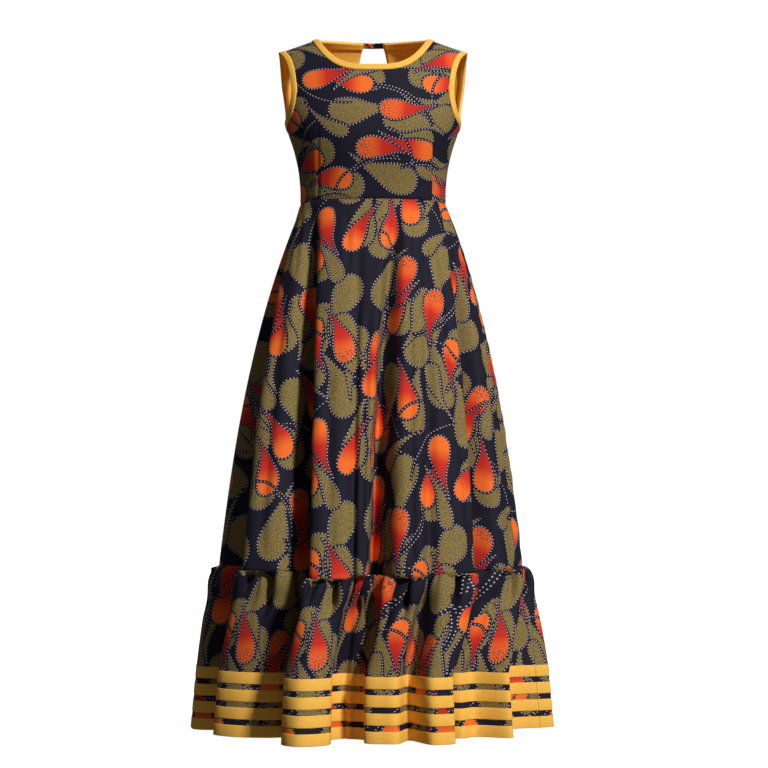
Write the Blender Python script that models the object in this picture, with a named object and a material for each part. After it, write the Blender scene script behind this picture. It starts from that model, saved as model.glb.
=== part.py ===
"""A sleeveless maxi dress in printed cotton, in the shape it has when worn.

Metres, +Z up, the front faces -Y.  The origin lies between the neck ends of the two shoulder seams,
where the wearer's shoulders carry the dress.  Every piece of cloth is a grid laid over the form of the
garment and extruded to its own wall, and neighbouring pieces stay GAP apart at their seams.
"""

import math
from collections import namedtuple

import bmesh
import bpy
from mathutils import Vector

# Walls and gaps
CLOTH = 0.0014  # printed cotton
LINING = 0.0010  # plain lining of the bodice
TRIM = 0.0010  # binding, tab and hem bands
GAP = 0.0003  # between neighbouring pieces
LINING_GAP = 0.0005  # between the bodice and its lining
BINDING_GAP = 0.0005  # between a binding and the edge that it wraps
WELD = 1e-5  # points this close are one

# Heights below the neck ends of the shoulder seams
WAIST_Z = -0.328
RUFFLE_Z = -1.052
HEM_Z = -1.368
RUFFLE_DEPTH = RUFFLE_Z - HEM_Z

# Neck, shoulders and armholes
NECK_HALF = 0.112
NECK_FRONT_DROP = 0.0620
NECK_BACK_RISE = 0.010
NECK_CURVE = 3.4
SHOULDER_HALF = 0.189
SHOULDER_SLOPE = 0.350
SHOULDER_START = 0.0165  # past the neck's half width, where the seam line would cross the origin's level
SHOULDER_CUT = 1.35  # the armhole's binding crosses the shoulder seam at a slant, this many times wider
NAPE_ROUND = 0.020
UNDERARM_DROP = 0.172
BINDING_WIDTH = 0.011

# Keyhole and tab at the centre back
KEYHOLE_ROW = 4  # the row of BODICE_ROWS at which the two backs part
TAB_WIDTH = 0.0095
TAB_OVERLAP = 0.012
TAB_COLUMNS = 8

# Hem bands
BAND_COUNT = 4
BAND_WIDTH = 0.0225
BAND_SPACING = 0.0335
BAND_ZONE = BAND_SPACING * (BAND_COUNT - 1) + BAND_WIDTH
BAND_ZONE_FLARE = 0.030  # how much wider the hem is than the top of the band zone, as a share

# Grid sizes
SEGMENT_COLUMNS = 2  # columns between two stations of a fold
NECK_COLUMNS = 6
SHOULDER_COLUMNS = 1
ARMHOLE_COLUMNS = 7
HALF_COLUMNS = NECK_COLUMNS + SHOULDER_COLUMNS + ARMHOLE_COLUMNS

# Shares of a bodice column's height, from the waist up to the bindings' inner edges
BODICE_ROWS = (0.0, 0.19, 0.38, 0.54, 0.665, 0.77, 0.87, 0.94, 0.975, 1.0)
KEYHOLE_BOTTOM_Z = WAIST_Z + BODICE_ROWS[KEYHOLE_ROW] * (NECK_BACK_RISE - BINDING_WIDTH - WAIST_Z)
NECK_BOW, ARMHOLE_BOW = 4.0, 9.0  # columns rise straight at first and fan out by these powers
NECK_FAN, SHOULDER_FAN = 33.0, 4.0  # degrees of the waist that the neck's and shoulder's columns take

# Shares of the skirt's length, and of the ruffle's depth above the bands
SKIRT_ROWS = (0.0, 0.06, 0.15, 0.28, 0.43, 0.60, 0.80, 1.0)
RUFFLE_ROWS = (0.0, 0.03, 0.10, 0.26, 0.55, 1.0)

# The bodice on a general figure: its sections from the waist to the shoulders
Section = namedtuple("Section", "height half_width front back corner")
BODICE = (
    Section(-0.330, 0.1460, 0.106, 0.088, 0.94),
    Section(-0.300, 0.1460, 0.112, 0.091, 0.93),
    Section(-0.260, 0.1500, 0.123, 0.095, 0.90),
    Section(-0.220, 0.1590, 0.133, 0.101, 0.87),
    Section(-0.190, 0.1690, 0.135, 0.105, 0.85),
    Section(-0.160, 0.1785, 0.131, 0.109, 0.86),
    Section(-0.115, 0.1920, 0.116, 0.110, 0.89),
    Section(-0.066, 0.2030, 0.100, 0.104, 0.92),
    Section(0.045, 0.2220, 0.078, 0.090, 0.94),
)

# Where the front and back start to roll over towards the shoulder seam
Roll = namedtuple("Roll", "start power")
FRONT_ROLL = Roll(-0.120, 2.6)
BACK_ROLL = Roll(-0.090, 3.0)

# The armhole's edge: at shares of its depth, how far round it lies between the shoulder's end (0) and
# the side seam (1) on the front and the back, and how much of the binding's width runs round there
Armhole = namedtuple("Armhole", "depth front back round")
ARMHOLE = (
    Armhole(0.00, 0.00, 0.00, 0.95),
    Armhole(0.10, -0.22, 0.03, 1.00),
    Armhole(0.25, -0.33, 0.08, 1.00),
    Armhole(0.42, -0.36, 0.14, 1.00),
    Armhole(0.60, -0.31, 0.19, 0.95),
    Armhole(0.77, -0.10, 0.31, 0.85),
    Armhole(0.90, 0.27, 0.56, 0.55),
    Armhole(1.00, 1.00, 1.00, 0.00),
)
ARMHOLE_RADIUS = 0.128  # of the bodice's turn towards the side

# The keyhole's half width at heights below the neck
Keyhole = namedtuple("Keyhole", "height half_width")
KEYHOLE = (
    Keyhole(KEYHOLE_BOTTOM_Z, 0.0),
    Keyhole(-0.109, 0.012),
    Keyhole(-0.096, 0.025),
    Keyhole(-0.065, 0.0335),
    Keyhole(-0.030, 0.0295),
    Keyhole(0.012, 0.0195),
)

# Where the skirt's folds start at the waist seam, in degrees round from the centre front.  A fold
# runs from its left shoulder to its right one, and then to its valley.
WaistFold = namedtuple("WaistFold", "name left right valley")
WAIST_FOLDS = (
    WaistFold("a", -112, -100, -95),
    WaistFold("b", -88, -64, -53),
    WaistFold("c", -41, -14, -8),
    WaistFold("d", -3, 12, 18),
    WaistFold("e", 25, 36, 42),
    WaistFold("f", 48, 62, 68),
    WaistFold("g", 72, 82, 86),
    WaistFold("h", 90, 98, 105),
    WaistFold("i", 112, 122, 128),
    WaistFold("j", 134, 146, 152),
    WaistFold("k", 158, 170, 177),
    WaistFold("l", 184, 196, 202),
    WaistFold("m", 208, 222, 228),
    WaistFold("n", 234, 240, 244),
)

# The same folds where the ruffle is sewn on: degrees, metres out from the axis, and how deep a trough
# its middle has
Fold = namedtuple("Fold", "name left left_out right right_out valley valley_out trough", defaults=(0.0,))
SEAM_FOLDS = (
    Fold("a", -88, 0.304, -79, 0.300, -68, 0.236),
    Fold("b", -50, 0.322, -38, 0.290, -30, 0.207),
    Fold("c", -22, 0.307, -10, 0.292, -7.5, 0.277),
    Fold("d", -5.5, 0.286, -2.5, 0.283, 0, 0.198),
    Fold("e", 9.5, 0.277, 19, 0.286, 23, 0.272),
    Fold("f", 27, 0.287, 43, 0.285, 50, 0.230),
    Fold("g", 57, 0.290, 73, 0.293, 78, 0.262),
    Fold("h", 86, 0.295, 97, 0.294, 104, 0.238),
    Fold("i", 112, 0.292, 126, 0.290, 134, 0.212),
    Fold("j", 142, 0.288, 156, 0.290, 161, 0.250),
    Fold("k", 167, 0.286, 180, 0.287, 188, 0.206),
    Fold("l", 195, 0.286, 208, 0.289, 215, 0.236),
    Fold("m", 222, 0.290, 236, 0.292, 244, 0.214),
    Fold("n", 252, 0.294, 262, 0.299, 267, 0.256),
)

# And where they reach the hem
HEM_FOLDS = (
    Fold("a", -90, 0.357, -79, 0.352, -71, 0.272),
    Fold("b", -65, 0.338, -43, 0.270, -39, 0.214, trough=-0.012),
    Fold("c", -29, 0.346, -14.7, 0.316, -19, 0.249, trough=-0.024),
    Fold("d", -14, 0.218, -7.7, 0.224, -3.4, 0.236),
    Fold("e", -2.5, 0.284, 9, 0.296, 16, 0.250),
    Fold("f", 20, 0.324, 28, 0.328, 33, 0.240),
    Fold("g", 39.5, 0.268, 53, 0.333, 68, 0.262, trough=0.040),
    Fold("h", 80, 0.290, 87, 0.359, 105, 0.272),
    Fold("i", 112, 0.334, 126, 0.346, 131, 0.236),
    Fold("j", 141, 0.322, 154, 0.338, 159, 0.248),
    Fold("k", 167, 0.326, 180, 0.336, 186, 0.234),
    Fold("l", 194, 0.324, 208, 0.342, 213, 0.246),
    Fold("m", 222, 0.336, 237, 0.344, 243, 0.242),
    Fold("n", 251, 0.328, 262, 0.352, 266, 0.286),
)
STATIONS_A_FOLD = 4  # left shoulder, middle, right shoulder and valley
SIDE_SEAM_RIGHT = 7 * STATIONS_A_FOLD + 1  # in the middle of fold h
SIDE_SEAM_LEFT = 0 * STATIONS_A_FOLD - 1  # in the valley before fold a

# How far the ruffle's seam lies above its level at each fold; in a valley it is halfway to the next
SEAM_LIFTS = {
    "a": 0.002,
    "b": 0.000,
    "c": -0.013,
    "d": -0.006,
    "e": -0.010,
    "f": -0.006,
    "g": -0.002,
    "h": 0.001,
    "i": -0.008,
    "j": -0.003,
    "k": -0.012,
    "l": -0.005,
    "m": -0.009,
    "n": -0.002,
}
SEAM_LIFT_POWER = 3.0  # how late down the skirt the seam's waves begin

BELL_SHARE, BELL_POWER = 0.45, 3.0  # share of the skirt's flare that comes early, and how early
CREST_BULGE = 0.10  # how far a fold's middle stands out past the line between its shoulders, per width
RUFFLE_SPRING = 0.50  # the ruffle springs out from its seam by this power
GATHER_DENT = 0.020  # how deep the gathering pulls a fold's middle in, just below the seam
DENT_FULL = 0.08  # share of the way down to the bands where the dents are deepest
DENT_GONE = 0.55  # and where they have gone

Cloth = namedtuple("Cloth", "colour roughness")
PRINT = Cloth((0.060, 0.045, 0.075), 0.80)
YELLOW = Cloth((0.900, 0.520, 0.060), 0.75)


def clear_scene():
    """Remove whatever the scene holds."""
    for old in list(bpy.data.objects):
        bpy.data.objects.remove(old)


def make_material(name, cloth):
    """A plain cloth material."""
    material = bpy.data.materials.new(name)
    material.use_nodes = True
    surface = material.node_tree.nodes["Principled BSDF"]
    surface.inputs["Base Color"].default_value = (*cloth.colour, 1.0)
    surface.inputs["Roughness"].default_value = cloth.roughness
    surface.inputs["Metallic"].default_value = 0.0
    return material


# ---------------------------------------------------------------- curves


def along(table, key, column, at):
    """A smooth value of one column of a table, at a value of its key column."""
    keys = [getattr(row, key) for row in table]
    values = [getattr(row, column) for row in table]
    if at <= keys[0]:
        return values[0]
    if at >= keys[-1]:
        return values[-1]
    upper = next(i for i, k in enumerate(keys) if k >= at)
    lower = upper - 1
    slopes = []
    for i in (lower, upper):
        before, after = max(i - 1, 0), min(i + 1, len(keys) - 1)
        slopes.append((values[after] - values[before]) / (keys[after] - keys[before]))
    span = keys[upper] - keys[lower]
    t = (at - keys[lower]) / span
    return (
        values[lower] * (2 * t**3 - 3 * t**2 + 1)
        + values[upper] * (3 * t**2 - 2 * t**3)
        + slopes[0] * span * (t**3 - 2 * t**2 + t)
        + slopes[1] * span * (t**3 - t**2)
    )


def smooth_step(t):
    """0 below 0, 1 above 1 and an even curve between."""
    t = min(1.0, max(0.0, t))
    return t * t * (3 - 2 * t)


def closed_curve(stations, columns_each):
    """Points on a smooth closed curve through the stations, with the same number between each two."""
    count = len(stations)
    points = []
    for i in range(count):
        p0, p1, p2, p3 = (stations[(i + k) % count] for k in (-1, 0, 1, 2))
        d01, d12, d23 = (math.sqrt(max((b - a).length, 1e-6)) for a, b in ((p0, p1), (p1, p2), (p2, p3)))
        m1 = (p2 - p1) + ((p1 - p0) / d01 - (p2 - p0) / (d01 + d12)) * d12
        m2 = (p2 - p1) + ((p3 - p2) / d23 - (p3 - p1) / (d12 + d23)) * d12
        for k in range(columns_each):
            t = k / columns_each
            points.append(
                p1 * (2 * t**3 - 3 * t**2 + 1)
                + p2 * (3 * t**2 - 2 * t**3)
                + m1 * (t**3 - 2 * t**2 + t)
                + m2 * (t**3 - t**2)
            )
    return points


def ring_normals(ring):
    """Outward mitre vectors of a closed ring in plan: moving each point by one keeps sides parallel."""
    count = len(ring)
    sides = []
    for i in range(count):
        side = (ring[(i + 1) % count] - ring[i]).to_2d().normalized()
        sides.append(Vector((side.y, -side.x, 0.0)))
    mitres = []
    for i in range(count):
        before, after = sides[i - 1], sides[i]
        mitres.append((before + after) / (1 + max(before.dot(after), -0.2)))
    return mitres


# ---------------------------------------------------------------- skirt and ruffle form


def polar(degrees, out):
    """A plan point at an angle from the centre front and a distance from the axis."""
    angle = math.radians(degrees)
    return Vector((out * math.sin(angle), -out * math.cos(angle), 0.0))


def fold_stations(folds, dent=0.0):
    """The plan stations of every fold: left shoulder, middle, right shoulder and valley."""
    stations = []
    for fold in folds:
        left, right = polar(fold.left, fold.left_out), polar(fold.right, fold.right_out)
        middle = (left + right) / 2
        middle += middle.normalized() * (CREST_BULGE * (right - left).length - fold.trough - dent)
        stations += [left, middle, right, polar(fold.valley, fold.valley_out)]
    return stations


def waist_stations():
    """Where each station of the skirt's folds starts at the waist seam."""
    stations = []
    for fold in WAIST_FOLDS:
        for degrees in (fold.left, (fold.left + fold.right) / 2, fold.right, fold.valley):
            stations.append(torso_point(degrees, WAIST_Z))
    return stations


def seam_lifts():
    """How far the ruffle's seam lies above its level at each column round the skirt."""
    lifts = []
    names = [fold.name for fold in SEAM_FOLDS]
    for name, following in zip(names, names[1:] + names[:1]):
        crest = SEAM_LIFTS[name]
        lifts += [crest, crest, crest, (crest + SEAM_LIFTS[following]) / 2]
    columns = []
    for lift, following in zip(lifts, lifts[1:] + lifts[:1]):
        columns += [lift + (following - lift) * k / SEGMENT_COLUMNS for k in range(SEGMENT_COLUMNS)]
    return columns


def raised(plan, height, waves):
    """A plan curve's points at a height, with a share of the seam's waves."""
    return [Vector((p.x, p.y, height + waves * lift)) for p, lift in zip(plan, seam_lifts())]


def skirt_ring(share):
    """The skirt's outer face at a share of its length, as a closed ring of points."""
    flare = (1 - BELL_SHARE) * share + BELL_SHARE * (1 - (1 - share) ** BELL_POWER)
    stations = [w.lerp(s, flare) for w, s in zip(waist_stations(), fold_stations(SEAM_FOLDS))]
    height = WAIST_Z + share * (RUFFLE_Z - WAIST_Z)
    return raised(closed_curve(stations, SEGMENT_COLUMNS), height, share**SEAM_LIFT_POWER)


def fold_between(seam, hem, down):
    """A fold of the ruffle at a share of the way down from its seam to the top of the band zone."""
    spring = down**RUFFLE_SPRING
    values = {"name": seam.name, "trough": hem.trough * down}
    for place in ("left", "right", "valley"):
        turn, out = getattr(seam, place), getattr(seam, place + "_out")
        values[place] = turn + (getattr(hem, place) - turn) * down
        bands_out = getattr(hem, place + "_out") * (1 - BAND_ZONE_FLARE)
        values[place + "_out"] = out + (bands_out - out) * spring
    return Fold(**values)


def ruffle_ring(rise):
    """The ruffle's outer face at a height above the hem, as a closed ring of points."""
    down = 1 - max(0.0, rise - BAND_ZONE) / (RUFFLE_DEPTH - BAND_ZONE)
    if rise <= BAND_ZONE:
        grow = 1 - BAND_ZONE_FLARE * rise / BAND_ZONE
        stations = [station * grow for station in fold_stations(HEM_FOLDS)]
    else:
        folds = [fold_between(seam, hem, down) for seam, hem in zip(SEAM_FOLDS, HEM_FOLDS)]
        dent = GATHER_DENT * smooth_step(down / DENT_FULL)
        dent *= 1 - smooth_step((down - DENT_FULL) / (DENT_GONE - DENT_FULL))
        stations = fold_stations(folds, dent)
    return raised(closed_curve(stations, SEGMENT_COLUMNS), HEM_Z + rise, 1 - down)


# ---------------------------------------------------------------- bodice form


def shoulder_height(x):
    """Height of the line where front and back meet above the bodice."""
    return SHOULDER_SLOPE * (NECK_HALF + SHOULDER_START - math.hypot(x, NAPE_ROUND))


def torso_point(degrees, height):
    """The bodice's outer face at an angle round from the centre front."""
    angle = math.radians(degrees)
    corner = along(BODICE, "height", "corner", height)
    sine, cosine = math.sin(angle), math.cos(angle)
    front = cosine >= 0
    depth = along(BODICE, "height", "front" if front else "back", height)
    x = along(BODICE, "height", "half_width", height) * math.copysign(abs(sine) ** corner, sine)
    roll = FRONT_ROLL if front else BACK_ROLL
    top = shoulder_height(x)
    share = round(min(1.0, max(0.0, (height - roll.start) / (top - roll.start))), 6)
    depth *= math.sqrt(max(0.0, 1 - share**roll.power))
    return Vector((x, -math.copysign(depth * abs(cosine) ** corner, cosine), height))


def angle_at(x, height, back):
    """The angle round the bodice where its outer face has this x."""
    corner = along(BODICE, "height", "corner", height)
    share = min(1.0, round(abs(x) / along(BODICE, "height", "half_width", height), 6)) ** (1 / corner)
    angle = math.degrees(math.asin(share))
    return math.copysign(180 - angle if back else angle, x)


def keyhole_half(height):
    """Half the keyhole's width at a height."""
    return along(KEYHOLE, "height", "half_width", height) if height > KEYHOLE_BOTTOM_Z else 0.0


def edge_point(j, back, inset):
    """(x, height) on the edge of half a bodice, or inset from it.

    Column j runs from the centre along the neckline, the shoulder seam and the armhole to the underarm.
    """
    shoulder = j - NECK_COLUMNS
    armhole = shoulder - SHOULDER_COLUMNS
    neck_x, tip_x = NECK_HALF + inset, SHOULDER_HALF - inset * SHOULDER_CUT
    if shoulder <= 0:
        share = math.sin(math.pi / 2 * j / NECK_COLUMNS)
        end = shoulder_height(neck_x)
        middle = (NECK_BACK_RISE if back else -NECK_FRONT_DROP) - inset
        return neck_x * share, end + (middle - end) * (1 - share**NECK_CURVE)
    if armhole <= 0:
        x = neck_x + (tip_x - neck_x) * shoulder / SHOULDER_COLUMNS
        return x, shoulder_height(x)
    share = math.sin(math.pi / 2 * armhole / ARMHOLE_COLUMNS) ** 1.2
    tip = shoulder_height(tip_x)
    height = tip + (-UNDERARM_DROP - inset - tip) * share
    start = angle_at(SHOULDER_HALF, shoulder_height(SHOULDER_HALF), False)
    angle = start + (90 - start) * along(ARMHOLE, "depth", "back" if back else "front", share)
    angle -= math.degrees(inset / ARMHOLE_RADIUS) * along(ARMHOLE, "depth", "round", share)
    return torso_point(angle, height).x, height


def waist_angle(j):
    """Degrees from the centre where column j of one half starts at the waist."""
    shoulder = j - NECK_COLUMNS
    armhole = shoulder - SHOULDER_COLUMNS
    if shoulder <= 0:
        return NECK_FAN * j / NECK_COLUMNS
    if armhole <= 0:
        return NECK_FAN + SHOULDER_FAN * shoulder / SHOULDER_COLUMNS
    start = NECK_FAN + SHOULDER_FAN
    return start + (90 - start) * (armhole / ARMHOLE_COLUMNS) ** 1.5


def on_bodice(x, height, back):
    """The point of the bodice's outer face at this x and height."""
    return torso_point(angle_at(x, height, back), height)


def bodice_column(j, side, back):
    """One column of half a bodice's outer face, from the waist up to the bindings' inner edges."""
    top_x, top = edge_point(j, back, BINDING_WIDTH)
    waist, fan = waist_angle(j), angle_at(top_x, top, False) - waist_angle(j)
    bow = NECK_BOW if j <= NECK_COLUMNS else ARMHOLE_BOW
    column = []
    for share in BODICE_ROWS:
        height = WAIST_Z + (top - WAIST_Z) * share
        angle = waist + fan * share**bow
        x = torso_point(angle, height).x
        if back:
            x += keyhole_half(height) * max(0.0, 1 - j / NECK_COLUMNS)
        point = on_bodice(x, height, back)
        column.append(Vector((side * point.x, point.y, point.z)))
    return column


def edge_strip(first, last, side, back):
    """The strip of half a bodice between its edge and a binding's inner edge, for columns first to last."""
    strip = []
    for j in range(first, last + 1):
        pair = []
        for inset in (BINDING_WIDTH, 0.0):
            x, height = edge_point(j, back, inset)
            if back:
                x += keyhole_half(height) * max(0.0, 1 - j / NECK_COLUMNS)
            point = on_bodice(x, height, back)
            pair.append(Vector((side * point.x, point.y, point.z)))
        strip.append(pair)
    return strip


def bodice_half(side, back):
    """The grids that make half a bodice's outer face: its body, then its neck and armhole strips."""
    body = [bodice_column(j, side, back) for j in range(HALF_COLUMNS + 1)]
    neck = edge_strip(0, NECK_COLUMNS, side, back)
    armhole = edge_strip(NECK_COLUMNS + SHOULDER_COLUMNS, HALF_COLUMNS, side, back)
    return [body, neck, armhole]


# ---------------------------------------------------------------- grids and walls


def key_of(point):
    """A rounded position, the same for two panels' points on one seam."""
    return tuple(round(c * 1e5) for c in point)


def shared_normals(grids):
    """Outward normals at every grid point, averaged over all the faces that meet there."""
    sums = {}
    for grid in grids:
        for i in range(len(grid) - 1):
            for k in range(len(grid[0]) - 1):
                corners = (grid[i][k], grid[i + 1][k], grid[i + 1][k + 1], grid[i][k + 1])
                normal = (corners[2] - corners[0]).cross(corners[3] - corners[1])
                middle = sum(corners, Vector()) / 4
                if normal.dot(middle - Vector((0.0, 0.0, min(middle.z, FRONT_ROLL.start)))) < 0:
                    normal.negate()
                for key in {key_of(corner) for corner in corners}:
                    sums[key] = sums.get(key, Vector()) + normal
    for key, normal in sums.items():
        if key[1] == 0:  # on the side and shoulder seams, so that both panels end on one plane
            normal.y = 0.0
        normal.normalize()
    return sums


def wall(name, near, far, material, collection):
    """A closed wall between two lists of grids, as a node of its own.

    Each flat grid is laid on its near points and welded to its neighbours.  The sheet is then extruded,
    and its other side laid on the far points.
    """
    shape = bmesh.new()
    place = shape.verts.layers.int.new("place")
    far_points = []
    for near_grid, far_grid in zip(near, far):
        columns, rows = len(near_grid) - 1, len(near_grid[0]) - 1
        made = bmesh.ops.create_grid(shape, x_segments=columns, y_segments=rows, size=1.0)
        for vertex in made["verts"]:
            i = round((vertex.co.x + 1) / 2 * columns)
            k = round((vertex.co.y + 1) / 2 * rows)
            vertex.co = near_grid[i][k]
            vertex[place] = len(far_points)
            far_points.append(far_grid[i][k])
    bmesh.ops.remove_doubles(shape, verts=list(shape.verts), dist=WELD)
    bmesh.ops.triangulate(shape, faces=list(shape.faces), quad_method="FIXED")
    made = bmesh.ops.extrude_face_region(shape, geom=list(shape.faces))
    for vertex in made["geom"]:
        if isinstance(vertex, bmesh.types.BMVert):
            vertex.co = far_points[vertex[place]]
    bmesh.ops.recalc_face_normals(shape, faces=list(shape.faces))
    if shape.calc_volume(signed=True) < 0:
        bmesh.ops.reverse_faces(shape, faces=list(shape.faces))
    mesh = bpy.data.meshes.new(name)
    shape.to_mesh(mesh)
    shape.free()
    mesh.materials.append(material)
    mesh.shade_smooth()
    mesh.set_sharp_from_angle(angle=math.radians(60))
    piece = bpy.data.objects.new(name, mesh)
    collection.objects.link(piece)
    return piece


# ---------------------------------------------------------------- pieces


def bodice_layer(grids, normals, depth, back, side):
    """A bodice panel's grids moved in by a depth, with their seam edges half a gap back from the seams."""
    away = 1 if back else -1
    layer = []
    for grid in grids:
        moved = []
        for column in grid:
            moved.append([])
            for point in column:
                new = point - normals[key_of(point)] * depth
                if abs(point.y) < WELD:
                    new.y += away * GAP / 2
                if back and abs(point.x) < WELD:
                    new.x += side * GAP / 2
                if abs(point.z - WAIST_Z) < WELD:
                    new.z = WAIST_Z + GAP / 2
                moved[-1].append(new)
        layer.append(moved)
    return layer


def make_bodice(print_cloth, yellow, collection):
    """The bodice's front and two backs, each with its lining, then the bindings and the tab."""
    halves = {(side, back): bodice_half(side, back) for side in (-1, 1) for back in (False, True)}
    normals = shared_normals([grid for half in halves.values() for grid in half])
    panels = (
        ("front", halves[-1, False] + halves[1, False], False, 0),
        ("back_left", halves[-1, True], True, -1),
        ("back_right", halves[1, True], True, 1),
    )
    for name, grids, back, side in panels:
        for piece, depth, thickness, cloth in (
            ("bodice", 0.0, CLOTH, print_cloth),
            ("lining", CLOTH + LINING_GAP, LINING, yellow),
        ):
            near = bodice_layer(grids, normals, depth, back, side)
            far = bodice_layer(grids, normals, depth + thickness, back, side)
            wall(f"{piece}_{name}", near, far, cloth, collection)
    make_bindings(halves, normals, yellow, collection)
    make_tab(print_cloth, collection)


def folded_over(strip, normals):
    """The near and far grids of a binding on one strip of the bodice: outer leg, fold and inner leg."""
    stack = CLOTH + LINING_GAP + LINING
    near, far = [], []
    for inner, edge in strip:
        in_normal, out_normal = normals[key_of(inner)], normals[key_of(edge)]
        outward = edge - inner
        outward = (outward - out_normal * outward.dot(out_normal)).normalized()
        past = edge + outward * BINDING_GAP
        corners = (
            inner + in_normal * BINDING_GAP,
            past + out_normal * BINDING_GAP,
            past - out_normal * (stack + BINDING_GAP),
            inner - in_normal * (stack + BINDING_GAP),
        )
        pushes = (in_normal, out_normal + outward, outward - out_normal, -in_normal)
        near.append(corners)
        far.append([point + push * TRIM for point, push in zip(corners, pushes)])
    legs = ((0, 1), (1, 2), (3, 2))
    return [[[[column[a], column[b]] for column in side] for a, b in legs] for side in (near, far)]


def binding(name, strips, normals, material, collection):
    """A strip folded over the bodice's edge, along one or more strips of the bodice."""
    near, far = [], []
    for strip in strips:
        near_legs, far_legs = folded_over(strip, normals)
        near += near_legs
        far += far_legs
    return wall(name, near, far, material, collection)


def make_bindings(halves, normals, yellow, collection):
    """The neck binding, which ends at the keyhole, and a binding round each armhole."""
    binding("neck_binding", [half[1] for half in halves.values()], normals, yellow, collection)
    for side, name in ((-1, "armhole_binding_left"), (1, "armhole_binding_right")):
        strips = [halves[side, back][2] for back in (False, True)]
        binding(name, strips, normals, yellow, collection)


def make_tab(print_cloth, collection):
    """The short strip that joins the two backs above the keyhole."""
    lift = BINDING_GAP + TRIM + GAP
    half = keyhole_half(NECK_BACK_RISE) + TAB_OVERLAP
    top = edge_point(0, True, 0.0)[1]
    near, far = [], []
    for i in range(TAB_COLUMNS + 1):
        x = half * (2 * i / TAB_COLUMNS - 1)
        low, high = on_bodice(x, top - TAB_WIDTH, True), on_bodice(x, top, True)
        out = Vector((0.0, high.z - low.z, low.y - high.y)).normalized()
        near.append([low + out * lift, high + out * lift])
        far.append([low + out * (lift + TRIM), high + out * (lift + TRIM)])
    wall("back_neck_tab", [near], [far], print_cloth, collection)


def split_rings(rings, start, end):
    """The part of closed rings between two stations, as columns of a panel."""
    count = len(rings[0])
    first, last = start * SEGMENT_COLUMNS, end * SEGMENT_COLUMNS
    return [[ring[c % count] for ring in rings] for c in range(first, last + 1)]


def ring_layers(rings, distances):
    """The rings moved out by each distance in plan, and in by a negative one."""
    mitres = [ring_normals(ring) for ring in rings]
    return [
        [[p + m * distance for p, m in zip(ring, mitre)] for ring, mitre in zip(rings, mitres)]
        for distance in distances
    ]


def make_panels(names, layers, top_gap, material, collection):
    """A front and a back wall between two layers of rings, split at the side seams."""
    whole = len(SEAM_FOLDS) * STATIONS_A_FOLD
    spans = ((SIDE_SEAM_LEFT, SIDE_SEAM_RIGHT), (SIDE_SEAM_RIGHT, SIDE_SEAM_LEFT + whole))
    for name, (start, end) in zip(names, spans):
        sides = []
        for layer in layers:
            grid = split_rings(layer, start, end)
            for end_column, next_column in ((grid[0], grid[1]), (grid[-1], grid[-2])):
                steps = [(q - p).normalized() * GAP / 2 for p, q in zip(end_column, next_column)]
                end_column[:] = [p + step for p, step in zip(end_column, steps)]
            for column in grid:
                column[0] = column[0] - Vector((0.0, 0.0, top_gap))
            sides.append([grid])
        wall(name, sides[0], sides[1], material, collection)


def make_skirt(print_cloth, collection):
    """The flared skirt's front and back, which hang from the waist seam."""
    rings = [skirt_ring(share) for share in SKIRT_ROWS]
    layers = ring_layers(rings, (0.0, -CLOTH))
    for layer in layers:
        layer[-1] = [p + Vector((0.0, 0.0, GAP / 2)) for p in layer[-1]]
    make_panels(("skirt_front", "skirt_back"), layers, GAP / 2, print_cloth, collection)


def make_ruffle(print_cloth, collection):
    """The gathered ruffle's front and back, below the skirt."""
    above_bands = RUFFLE_DEPTH - BAND_ZONE
    rises = [RUFFLE_DEPTH - share * above_bands for share in RUFFLE_ROWS] + [0.0]
    layers = ring_layers([ruffle_ring(rise) for rise in rises], (0.0, -CLOTH))
    make_panels(("ruffle_front", "ruffle_back"), layers, GAP / 2, print_cloth, collection)


def make_bands(yellow, collection):
    """Four level bands on the ruffle, the lowest at the hem, made from the ruffle's own points."""
    for band in range(BAND_COUNT):
        bottom = BAND_SPACING * (BAND_COUNT - 1 - band)
        rings = [ruffle_ring(bottom + rise) for rise in (BAND_WIDTH, 0.0)]
        layers = ring_layers(rings, (GAP, GAP + TRIM))
        names = [f"hem_band_{band + 1}_{side}" for side in ("front", "back")]
        make_panels(names, layers, 0.0, yellow, collection)


def main():
    clear_scene()
    collection = bpy.data.collections.new("wax_print_dress")
    bpy.context.scene.collection.children.link(collection)
    print_cloth = make_material("wax_print_cotton", PRINT)
    yellow = make_material("yellow_cotton", YELLOW)
    make_bodice(print_cloth, yellow, collection)
    make_skirt(print_cloth, collection)
    make_ruffle(print_cloth, collection)
    make_bands(yellow, collection)


if __name__ == "__main__":
    main()
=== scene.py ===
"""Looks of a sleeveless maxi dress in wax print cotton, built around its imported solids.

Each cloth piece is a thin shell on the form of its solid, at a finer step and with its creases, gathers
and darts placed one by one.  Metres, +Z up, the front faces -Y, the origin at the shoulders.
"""

from __future__ import annotations

import logging
import math
from collections.abc import Sequence
from dataclasses import astuple, dataclass, replace
from enum import Enum
from functools import partial

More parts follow.
